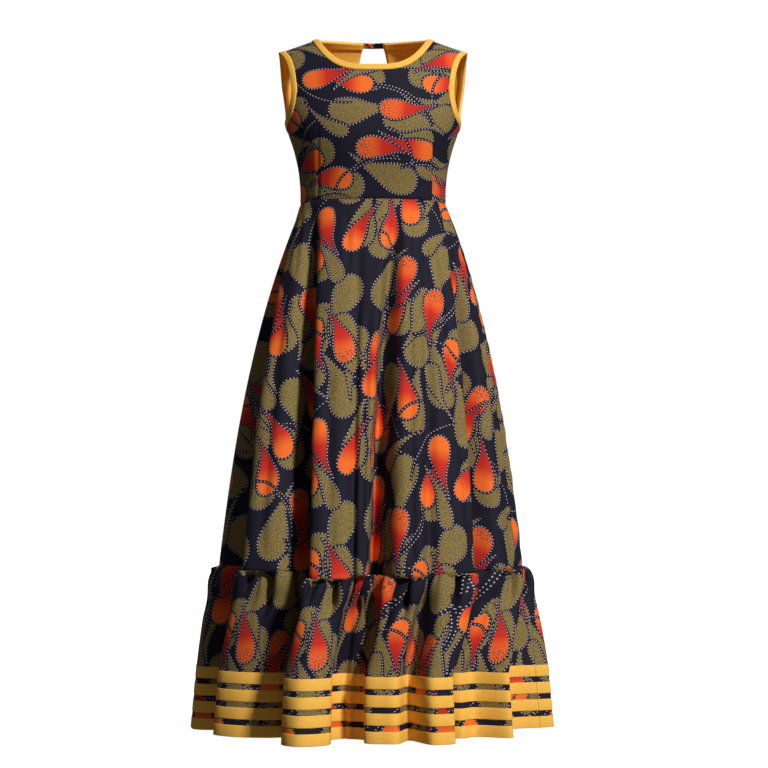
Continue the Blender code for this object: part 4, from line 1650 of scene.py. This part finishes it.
@dataclass
class Rings:
    """Closed rings of cloth, from the top down, that are split into a front and a back panel."""

    plan: Array  # (rows, columns, 2)
    heights: Array  # (rows, columns)
    columns_each: int

    @property
    def points(self) -> Array:
        """The rings' points, (rows, columns, 3)."""
        return np.concatenate([self.plan, self.heights[..., None]], axis=-1)

    def along(self) -> tuple[Array, Array]:
        """Measure round the rings.

        Returns:
            Distance round each ring from its first column, (rows, columns), and each ring's length, (rows,).
        """
        steps = np.linalg.norm(np.roll(self.plan, -1, axis=1) - self.plan, axis=-1)
        so_far = np.cumsum(steps, axis=1)[:, :-1]
        return np.concatenate([np.zeros((len(steps), 1)), so_far], axis=1), steps.sum(axis=1)

    def away_from(self, places: Array) -> Array:
        """Distance round each ring from a place on it.

        Args:
            places: (rows,) place on each ring, in stations.

        Returns:
            (rows, columns) signed distances, the short way round.
        """
        along, whole = self.along()
        rows, columns = along.shape
        column = (places * self.columns_each) % columns
        low = column.astype(int)
        closed = np.concatenate([along, whole[:, None]], axis=1)
        row = np.arange(rows)
        start = closed[row, low] + (closed[row, low + 1] - closed[row, low]) * (column - low)
        away = along - start[:, None]
        return (away + whole[:, None] / 2) % whole[:, None] - whole[:, None] / 2

    def columns(self, start: int, end: int) -> Array:
        """The numbers of the columns between two stations, counted on past the last one."""
        return np.arange(start * self.columns_each, end * self.columns_each + 1)

    def move_in(self, inward: Array) -> None:
        """Move the rings in by a distance for each point."""
        self.plan = self.plan - ring_normals(self.plan) * inward[..., None]

    def creased(self, creases: Sequence[Crease], shares: Array, rise: float, fade: float) -> Array:
        """How far a list of creases moves each point in.

        Args:
            creases: the creases.
            shares: (rows,) share of the piece's length at each ring.
            rise: share of the length over which a crease comes.
            fade: share of the length over which it goes.

        Returns:
            (rows, columns) distances.
        """
        inward = np.zeros(self.heights.shape)
        for crease in creases:
            part = np.clip((shares - crease.top) / (crease.foot - crease.top), 0.0, 1.0)
            places = crease.top_place + (crease.foot_place - crease.top_place) * part
            away = self.away_from(places) / crease.width
            strength = smooth_step((shares - crease.top) / rise) * smooth_step((crease.foot - shares) / fade)
            beside = crease.beside * np.exp(-((np.abs(away) - crease.beside_place) ** 2))
            inward += crease.depth * strength[:, None] * (np.exp(-(away**2)) - beside)
        return inward

    def panel(self, start: int, end: int, flat: Array, gap: float) -> Patch:
        """The part of the rings between two stations, its side edges half a gap back from the seams.

        Args:
            start: its first station.
            end: its last one.
            flat: (rows, columns, 2) flat cloth coordinates of the panel.
            gap: between two panels.

        Returns:
            The patch.
        """
        columns = self.columns(start, end)
        points = self.points[:, columns % self.plan.shape[1]].transpose(1, 0, 2).copy()
        for edge, beside in ((0, 1), (-1, -2)):
            points[edge] += unit(points[beside] - points[edge]) * gap / 2
        return Patch(points, flat[:, columns - columns[0]].transpose(1, 0, 2))


@dataclass
class Skirt:
    """The flared skirt, which hangs in deep folds from the waist seam."""

    form: FoldedForm
    printed: Cloth
    columns_each: int = 10
    rows: int = 90
    row_crowd: float = 0.20  # how much closer the rows lie at the two ends than in the middle
    sag: float = 0.0012  # how far the cloth turns in at its two seams
    sag_height: float = 0.0025
    ease: float = 0.05  # share of the length over which a crease comes and goes
    ripple: float = 0.0020  # of which a third shows halfway down, where it is strongest
    ripple_short: float = 0.047  # length of the shorter ripples, which lean
    ripple_long: float = 0.083
    ripple_lean: float = 5.0  # radians that they shift by from the waist to the foot
    ripple_start: float = 3.0  # radians between the two kinds at the first column
    ripple_foot: float = 1.15  # beyond the foot, in lengths, where the ripples would be gone
    front_creases: tuple[Crease, ...] = (
        Crease(20.9, 21.7, 0.10, 0.96, 0.0045, 0.008),
        Crease(25.0, 25.3, 0.22, 0.97, 0.0040, 0.008),
        Crease(17.0, 17.2, 0.35, 0.98, 0.0030, 0.007),
        Crease(8.9, 9.2, 0.45, 0.98, 0.0030, 0.009),
        Crease(5.2, 5.1, 0.30, 0.97, 0.0030, 0.009),
        Crease(12.6, 12.9, 0.30, 0.90, 0.0020, 0.006),
        Crease(22.0, 21.2, 0.05, 0.30, 0.0020, 0.006),
        Crease(9.6, 9.9, 0.02, 0.22, 0.0018, 0.006),
        Crease(5.6, 5.9, 0.02, 0.24, 0.0018, 0.006),
        Crease(16.5, 17.0, 0.02, 0.20, 0.0018, 0.005),
        Crease(24.4, 24.8, 0.02, 0.22, 0.0018, 0.005),
    )
    cut_size: tuple[float, float] = (1.30, 0.86)
    cut_area: float = 0.71
    back_shift: float = 0.155  # how far along the print the back is cut from the front

    def back_creases(self) -> list[Crease]:
        """Creases for the back, like the front's: a long one and a short one to a fold.

        Sines of the fold's number make them uneven.

        Returns:
            The creases.
        """
        creases = []
        for fold in BACK_FOLDS:
            place = fold * self.form.each + 0.8 + 0.5 * math.sin(2.3 * fold)
            drift = 0.35 * math.cos(1.7 * fold)
            top = 0.22 + 0.15 * math.sin(3.1 * fold)
            depth = 0.0034 + 0.0010 * math.cos(2.9 * fold)
            creases.append(Crease(place, place + drift, top, 0.97, depth, 0.0085))
            creases.append(Crease(place + 0.7, place + 0.9, 0.02, 0.22, 0.0018, 0.006))
        return creases

    def ripples(self, rings: Rings, shares: Array) -> Array:
        """How far the cloth's slight unevenness moves each point in, none at the waist.

        Args:
            rings: the skirt.
            shares: share of its length at each ring.

        Returns:
            (rows, columns) distances.
        """
        turns = 2 * math.pi * rings.along()[0]
        down = shares[:, None]
        wave = np.sin(turns / self.ripple_short + self.ripple_lean * down)
        wave = wave + np.sin(turns / self.ripple_long - self.ripple_start)
        return self.ripple * wave * (down * (self.ripple_foot - down))

    def build(self) -> list[Object]:
        """Make the skirt.

        Returns:
            Its front and its back.
        """
        cut, form = self.form.cut, self.form
        t = np.linspace(0.0, 1.0, self.rows)
        shares = t - self.row_crowd * np.sin(2 * math.pi * t) / (2 * math.pi)
        plan = np.array([form.skirt_ring(float(share), self.columns_each) for share in shares])
        length = cut.waist_z - cut.ruffle_z
        z = cut.waist_z - cut.gap / 2 - shares * (length - cut.gap)
        rings = Rings(plan, np.repeat(z[:, None], plan.shape[1], axis=1), self.columns_each)
        flat = self.flat(rings)
        late = shares[:, None] ** form.seam_lift_power
        rings.heights = rings.heights + late * form.waves(self.columns_each)
        inward = rings.creased((*self.front_creases, *self.back_creases()), shares, self.ease, self.ease)
        inward += self.ripples(rings, shares)
        ends = np.exp(-shares * length / self.sag_height) + np.exp(-(1 - shares) * length / self.sag_height)
        rings.move_in(inward + self.sag * ends[:, None])
        made = []
        for (name, start, end), places in zip(form.panel_spans(), flat):
            patch = rings.panel(start, end, places, cut.gap)
            made.append(Piece(f"skirt_{name}", [patch], self.printed, self.cut_size, self.cut_area).build())
        return made

    def flat(self, rings: Rings) -> list[Array]:
        """Where each panel's points lie on the flat cloth, which is cut as part of a ring.

        Args:
            rings: the skirt before its creases.

        Returns:
            Coordinates for the front and for the back.
        """
        form = self.form
        whole = rings.along()[1]
        slant = steps_along(rings.points, 0).mean(axis=1)
        top_radius = slant[-1] * whole[0] / (whole[-1] - whole[0])
        centres = ((form.centre_front, 0.0), (form.centre_back, self.back_shift))
        places = []
        for (_, start, end), (centre, shift) in zip(form.panel_spans(), centres):
            columns = rings.columns(start, end) % rings.plan.shape[1]
            away = rings.away_from(np.full(len(whole), centre))[:, columns]
            radius = (top_radius + slant)[:, None]
            turn = away / radius
            places.append(np.stack([radius * np.sin(turn) + shift, -radius * np.cos(turn)], axis=-1))
        return places


@dataclass
class Ruffle:
    """The gathered ruffle and its four yellow bands."""

    form: FoldedForm
    printed: Cloth
    yellow: Cloth
    columns_each: int = 14
    rows: int = 62
    row_crowd: float = 0.75  # crowds the rows towards the seam: 0 is evenly
    band_zone_rows: int = 14
    seam_hold: float = 0.006  # height below the seam over which the gathers come
    puff: float = 0.0070  # how far the gathers' heads swell out just below the seam
    puff_down: float = 0.026  # where they stand out most
    puff_fade: float = 0.025
    lift: float = 0.0105  # how strongly the heads rise before they turn over and hang
    lift_down: float = 0.010
    side_flat: float = 0.8  # how much less they rise at the two sides
    side_power: float = 4.0
    head_mean: float = 0.85  # the heads' mean share of that lift
    head_swing: float = 0.25  # and how far they differ from it
    head_waves: tuple[float, float] = (1.9, 0.63)  # radians to a station, of the two waves they differ by
    head_start: float = 1.0  # radians, where the first of those starts
    pinch: float = 0.0140
    pinch_width: float = 0.0075
    pinch_foot: float = 0.26  # share of the way to the bands where a valley's pinch ends
    pinch_rise: float = 0.02  # share of that way over which a pinch deepens
    pinch_fade: float = 0.8  # share of its own length over which it goes
    pinch_more: float = 0.9  # how much deeper a pinch is close below the seam
    pinch_near: float = 0.020
    pinched_flat: float = 0.006  # a pinch this deep has no head on it
    pinched_lift: float = 0.05  # share of the lift that is left there
    unpinched: tuple[int, ...] = (19,)  # valleys that the gathering leaves full
    fine_step: float = 0.36  # stations between small gathers
    fine_depth: float = 0.0022
    fine_down: float = 0.022
    fine_uneven: float = 1.3  # radians that they shift by to either side, so that no two are alike
    fine_turn: float = 1.1  # radians of that shift's own wave to a station
    band_width: float = 0.0225
    band_spacing: float = 0.0335
    band_count: int = 4
    band_lift: float = 0.0008  # how far a band stands off the ruffle
    band_edge: float = 0.0012  # height of the stretch along its edges that is sewn down
    band_edge_lift: float = 0.6  # share of its lift there
    tuck_in: float = 0.0022  # how far the ruffle's top edge lies behind the skirt's foot
    tuck_up: float = 0.0030
    cut_size: tuple[float, float] = (1.72, 0.324)
    front_creases: tuple[Crease, ...] = (
        Crease(0.8, 0.9, 0.0, 0.45, 0.0085, 0.0075),
        Crease(4.5, 4.4, 0.0, 0.30, 0.0060, 0.0065),
        Crease(5.5, 5.4, 0.0, 0.62, 0.0140, 0.0080),
        Crease(6.4, 6.5, 0.0, 0.34, 0.0065, 0.0065),
        Crease(8.4, 8.3, 0.0, 0.34, 0.0070, 0.0065),
        Crease(9.4, 9.6, 0.0, 0.56, 0.0135, 0.0080),
        Crease(13.2, 13.1, 0.0, 0.40, 0.0085, 0.0070),
        Crease(16.1, 16.3, 0.0, 0.72, 0.0120, 0.0080),
        Crease(17.2, 17.3, 0.0, 0.52, 0.0140, 0.0075),
        Crease(18.5, 18.6, 0.0, 0.30, 0.0060, 0.0065),
        Crease(20.95, 20.8, 0.0, 0.66, 0.0150, 0.0085),
        Crease(22.1, 22.0, 0.0, 0.50, 0.0100, 0.0070),
        Crease(24.6, 24.8, 0.0, 0.62, 0.0130, 0.0080),
        Crease(25.6, 25.5, 0.0, 0.44, 0.0085, 0.0065),
    )

    def creases(self) -> list[Crease]:
        """Every gather that shows as a crease: the front's, similar ones on the back, and the valleys'.

        Sines of the fold's number make the back's uneven.

        Returns:
            The creases.
        """
        made = list(self.front_creases)
        for fold in BACK_FOLDS:
            for k, place in enumerate((0.7, 1.5)):
                start = fold * self.form.each + place + 0.2 * math.sin(2.1 * fold + k)
                foot = 0.48 + 0.14 * math.sin(1.3 * fold + 2 * k)
                depth = 0.0125 - 0.0030 * k
                made.append(Crease(start, start + 0.15 * math.cos(fold), 0.0, foot, depth, 0.0075))
        for valley in range(self.form.each - 1, self.form.places, self.form.each):
            if valley not in self.unpinched:
                made.append(Crease(valley, valley, 0.0, self.pinch_foot, self.pinch, self.pinch_width))
        return made

    def pinches(self, rings: Rings, shares: Array, down: Array) -> Array:
        """How far the gathers pull each point in.

        Args:
            rings: the ruffle before its gathers.
            shares: (rows,) share of the way from the seam to the bands.
            down: (rows, 1) distance below the seam.

        Returns:
            (rows, columns) distances.
        """
        inward = np.zeros(rings.heights.shape)
        above_bands = shares[:, None] < 1
        for crease in self.creases():
            fade = self.pinch_fade * crease.foot
            inward += rings.creased([crease], shares, self.pinch_rise, fade) * above_bands
        inward *= 1 + self.pinch_more * np.exp(-down / self.pinch_near)
        station = np.arange(rings.plan.shape[1]) / self.columns_each
        shift = self.fine_uneven * np.sin(station * self.fine_turn)
        small = np.cos(2 * math.pi * station / self.fine_step + shift)
        return inward + self.fine_depth * small * np.exp(-down / self.fine_down)

    def head_lifts(self, rings: Rings) -> Array:
        """How strongly the gathers' heads rise, uneven round the ruffle and faint at its two sides.

        Args:
            rings: the gathered rings.

        Returns:
            (columns,) shares of the lift.
        """
        station = np.arange(rings.plan.shape[1]) / self.columns_each
        quick, slow = (turn * station for turn in self.head_waves)
        uneven = self.head_mean + self.head_swing * np.sin(quick + self.head_start) * np.sin(slow)
        out = np.abs(rings.plan[0, :, 0])
        return uneven * (1 - self.side_flat * out**self.side_power / out.max() ** self.side_power)

    def rings_at(self, rises: Array) -> Rings:
        """The ruffle's rings at heights above the hem, gathered below its seam.

        Args:
            rises: (rows,) heights above the hem, from the top down.

        Returns:
            The rings.
        """
        cut, form = self.form.cut, self.form
        depth = cut.ruffle_z - cut.hem_z
        plan = np.array([form.ruffle_ring(float(rise), self.columns_each) for rise in rises])
        heights = np.repeat((cut.hem_z + rises)[:, None], plan.shape[1], axis=1)
        rings = Rings(plan, heights, self.columns_each)
        shares = (depth - rises) / (depth - form.band_zone)
        down = (depth - rises)[:, None]
        inward = self.pinches(rings, shares, down)
        swell = self.puff * np.exp(-(((down - self.puff_down) / self.puff_fade) ** 2))
        pinched = smooth_step(inward / self.pinched_flat)
        rings.move_in((inward - swell * (1 - pinched)) * smooth_step(down / self.seam_hold))
        hump = down / self.lift_down * np.exp(1 - down / self.lift_down)
        heads = self.lift * hump * self.head_lifts(rings) * (1 - (1 - self.pinched_lift) * pinched)
        seam_waves = form.waves(self.columns_each) * np.maximum(0.0, 1 - shares)[:, None]
        rings.heights = rings.heights + heads + seam_waves
        return rings

    def panels(
        self, name: str, rings: Rings, cloth: Cloth, cut_size: tuple[float, float], held: str
    ) -> list[Object]:
        """A front and a back piece from the same rings.

        Args:
            name: a node name up to its ``front`` or ``back``.
            rings: the form.
            cloth: what they are cut from.
            cut_size: of each flat piece.
            held: how they are held.

        Returns:
            The two pieces.
        """
        form = self.form
        round_it = self.rings_at(np.array([form.band_zone])).along()[0][0]  # distance round the flat strip
        whole = round_it[-1] + (round_it[1] - round_it[0])
        down = steps_along(rings.points, 0).mean(axis=1)
        made = []
        for side, start, end in form.panel_spans():
            turns, wrapped = np.divmod(rings.columns(start, end), len(round_it))
            along = round_it[wrapped] + turns * whole
            flat = np.stack(np.broadcast_arrays(along[None, :], -down[:, None]), axis=-1)
            patch = rings.panel(start, end, flat, form.cut.gap)
            made.append(Piece(f"{name}_{side}", [patch], cloth, cut_size, held=held).build())
        return made

    def gathered(self) -> list[Object]:
        """The printed ruffle, its top edge tucked behind the skirt's foot.

        Returns:
            Its front and its back.
        """
        cut, form = self.form.cut, self.form
        depth = cut.ruffle_z - cut.hem_z
        t = np.linspace(0.0, 1.0, self.rows)
        above = (depth - form.band_zone) * ((1 - self.row_crowd) * t + self.row_crowd * t**2)
        below = np.linspace(form.band_zone, 0.0, self.band_zone_rows)[1:]
        rises = np.concatenate([depth - cut.gap / 2 - above * (1 - cut.gap), below])
        rings = self.rings_at(np.concatenate([rises[:1], rises]))
        tucked = np.zeros(rings.heights.shape)
        tucked[0] = 1.0
        rings.move_in(self.tuck_in * tucked)
        rings.heights = rings.heights + self.tuck_up * tucked
        return self.panels("ruffle", rings, self.printed, self.cut_size, "gathered")

    def band(self, number: int) -> list[Object]:
        """One yellow band.

        Args:
            number: 1 for the highest.

        Returns:
            Its front and its back.
        """
        width, edge = self.band_width, self.band_edge
        bottom = self.band_spacing * (self.band_count - number)
        rings = self.rings_at(bottom + np.array([width, width - edge, width / 2, edge, 0.0]))
        lift = np.array([self.band_edge_lift, 1.0, 1.0, 1.0, self.band_edge_lift]) * self.band_lift
        rings.move_in(-np.repeat(lift[:, None], rings.plan.shape[1], axis=1))
        return self.panels(f"hem_band_{number}", rings, self.yellow, (self.cut_size[0], width), "hung")

    def build(self) -> list[Object]:
        """Make the ruffle and its bands.

        Returns:
            Their pieces.
        """
        made = self.gathered()
        for number in range(1, self.band_count + 1):
            made += self.band(number)
        return made


# -------- studio


@dataclass
class Studio:
    """A pale floor and surround, a soft box to the camera's right, a weaker one behind, and the camera."""

    floor_z: float = -1.372
    floor_side: float = 60.0
    floor: str = "#A8A6A2"
    floor_glow: float = 0.96  # lifts the floor towards the backdrop's white
    floor_roughness: float = 0.9
    backdrop: str = "#FFFFFF"
    ambient: float = 0.10  # how strongly the surroundings light the dress
    camera_place: tuple[float, float, float] = (0.022, -4.38, -0.852)
    pitch: float = 2.144  # degrees above level
    focal_px: float = 2190.0  # focal length in pixels of the picture
    frame_px: float = 768.0
    sensor: float = 36.0  # mm
    aim: tuple[float, float, float] = (0.0, 0.0, -0.75)  # what the soft boxes face
    box_rise: float = 32.0  # degrees above level
    box_distance: float = 10.0
    box_size: float = 1.0
    key_turn: float = 34.0  # degrees round from the front, towards the camera's right
    key_power: float = 1000.0  # watts
    back_turn: float = 180.0
    back_power: float = 620.0

    def add_soft_box(self, name: str, degrees: float, power: float) -> None:
        """Add a soft box that faces the dress.

        Args:
            name: the light's name.
            degrees: how far round it stands from the front, towards the camera's right.
            power: in watts.
        """
        turn, rise = math.radians(degrees), math.radians(self.box_rise)
        way = Vector((math.sin(turn) * math.cos(rise), -math.cos(turn) * math.cos(rise), math.sin(rise)))
        data = bpy.data.lights.new(name, "AREA")
        data.energy, data.size = power, self.box_size
        light = bpy.data.objects.new(name, data)
        light.location = Vector(self.aim) + way * self.box_distance
        light.rotation_euler = way.to_track_quat("Z", "Y").to_euler()
        bpy.context.scene.collection.objects.link(light)

    def add_floor(self) -> None:
        """Add the floor, which throws no light back up into the folds."""
        mesh = bpy.data.meshes.new("studio_floor")
        half = self.floor_side / 2
        corners = [(-half, -half, 0), (half, -half, 0), (half, half, 0), (-half, half, 0)]
        mesh.from_pydata(corners, [], [(0, 1, 2, 3)])
        paint = bpy.data.materials.new("matt_floor_paint")  # an even white that takes only a soft shadow
        paint.use_nodes = True
        surface = paint.node_tree.nodes["Principled BSDF"]
        surface.inputs["Base Color"].default_value = linear(self.floor)
        surface.inputs["Roughness"].default_value = self.floor_roughness
        surface.inputs["Emission Color"].default_value = linear(self.backdrop)
        surface.inputs["Emission Strength"].default_value = self.floor_glow
        mesh.materials.append(paint)
        floor = bpy.data.objects.new("studio_floor", mesh)
        floor.location.z = self.floor_z
        floor.visible_diffuse = floor.visible_glossy = False
        bpy.context.scene.collection.objects.link(floor)

    def add_surround(self) -> None:
        """Add the world: white to look at, and a faint even light on the dress."""
        world = bpy.data.worlds.new("studio")
        world.use_nodes = True
        background = world.node_tree.nodes["Background"]
        background.inputs["Color"].default_value = linear(self.backdrop)
        seen = add_node(world.node_tree, "LightPath")
        strength = add_node(world.node_tree, "Mix", (seen, self.ambient, 1.0))
        world.node_tree.links.new(strength, background.inputs["Strength"])
        bpy.context.scene.world = world

    def add_camera(self) -> None:
        """Add the camera, which looks straight at the front from a little above the knees."""
        data = bpy.data.cameras.new("camera")
        data.sensor_fit = "HORIZONTAL"
        data.sensor_width = self.sensor
        data.lens = self.focal_px / self.frame_px * self.sensor
        camera = bpy.data.objects.new("camera", data)
        camera.location = self.camera_place
        camera.rotation_euler = (math.radians(90 + self.pitch), 0.0, 0.0)
        bpy.context.scene.collection.objects.link(camera)
        bpy.context.scene.camera = camera

    def build(self) -> None:
        """Set up the whole studio."""
        bpy.context.scene.view_settings.view_transform = "Standard"
        self.add_surround()
        self.add_floor()
        self.add_soft_box("key_soft_box", self.key_turn, self.key_power)
        self.add_soft_box("back_soft_box", self.back_turn, self.back_power)
        self.add_camera()


def main() -> None:
    """Load the frame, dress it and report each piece."""
    logging.basicConfig(level=logging.INFO, format="%(name)s: %(message)s")
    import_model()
    cut, torso = Cut(), Torso()
    form = FoldedForm(cut, torso)
    printed = Cloth(woven(WaxPrint()), Slot.PRINT, cut.cotton)
    yellow = Cloth(woven(PlainCotton("yellow_cotton", "#FCC153", "#F4B447")), Slot.YELLOW, cut.lining_cloth)
    pieces = Bodice(cut, torso, printed, yellow).build()
    pieces += Skirt(form, printed).build()
    pieces += Ruffle(form, printed, yellow).build()
    Studio().build()
    for piece in pieces:
        LOG.info("%s: %d quads, %s", piece.name, len(piece.data.polygons), piece.active_material.name)
    LOG.info("%d pieces", len(pieces))


if __name__ == "__main__":
    main()
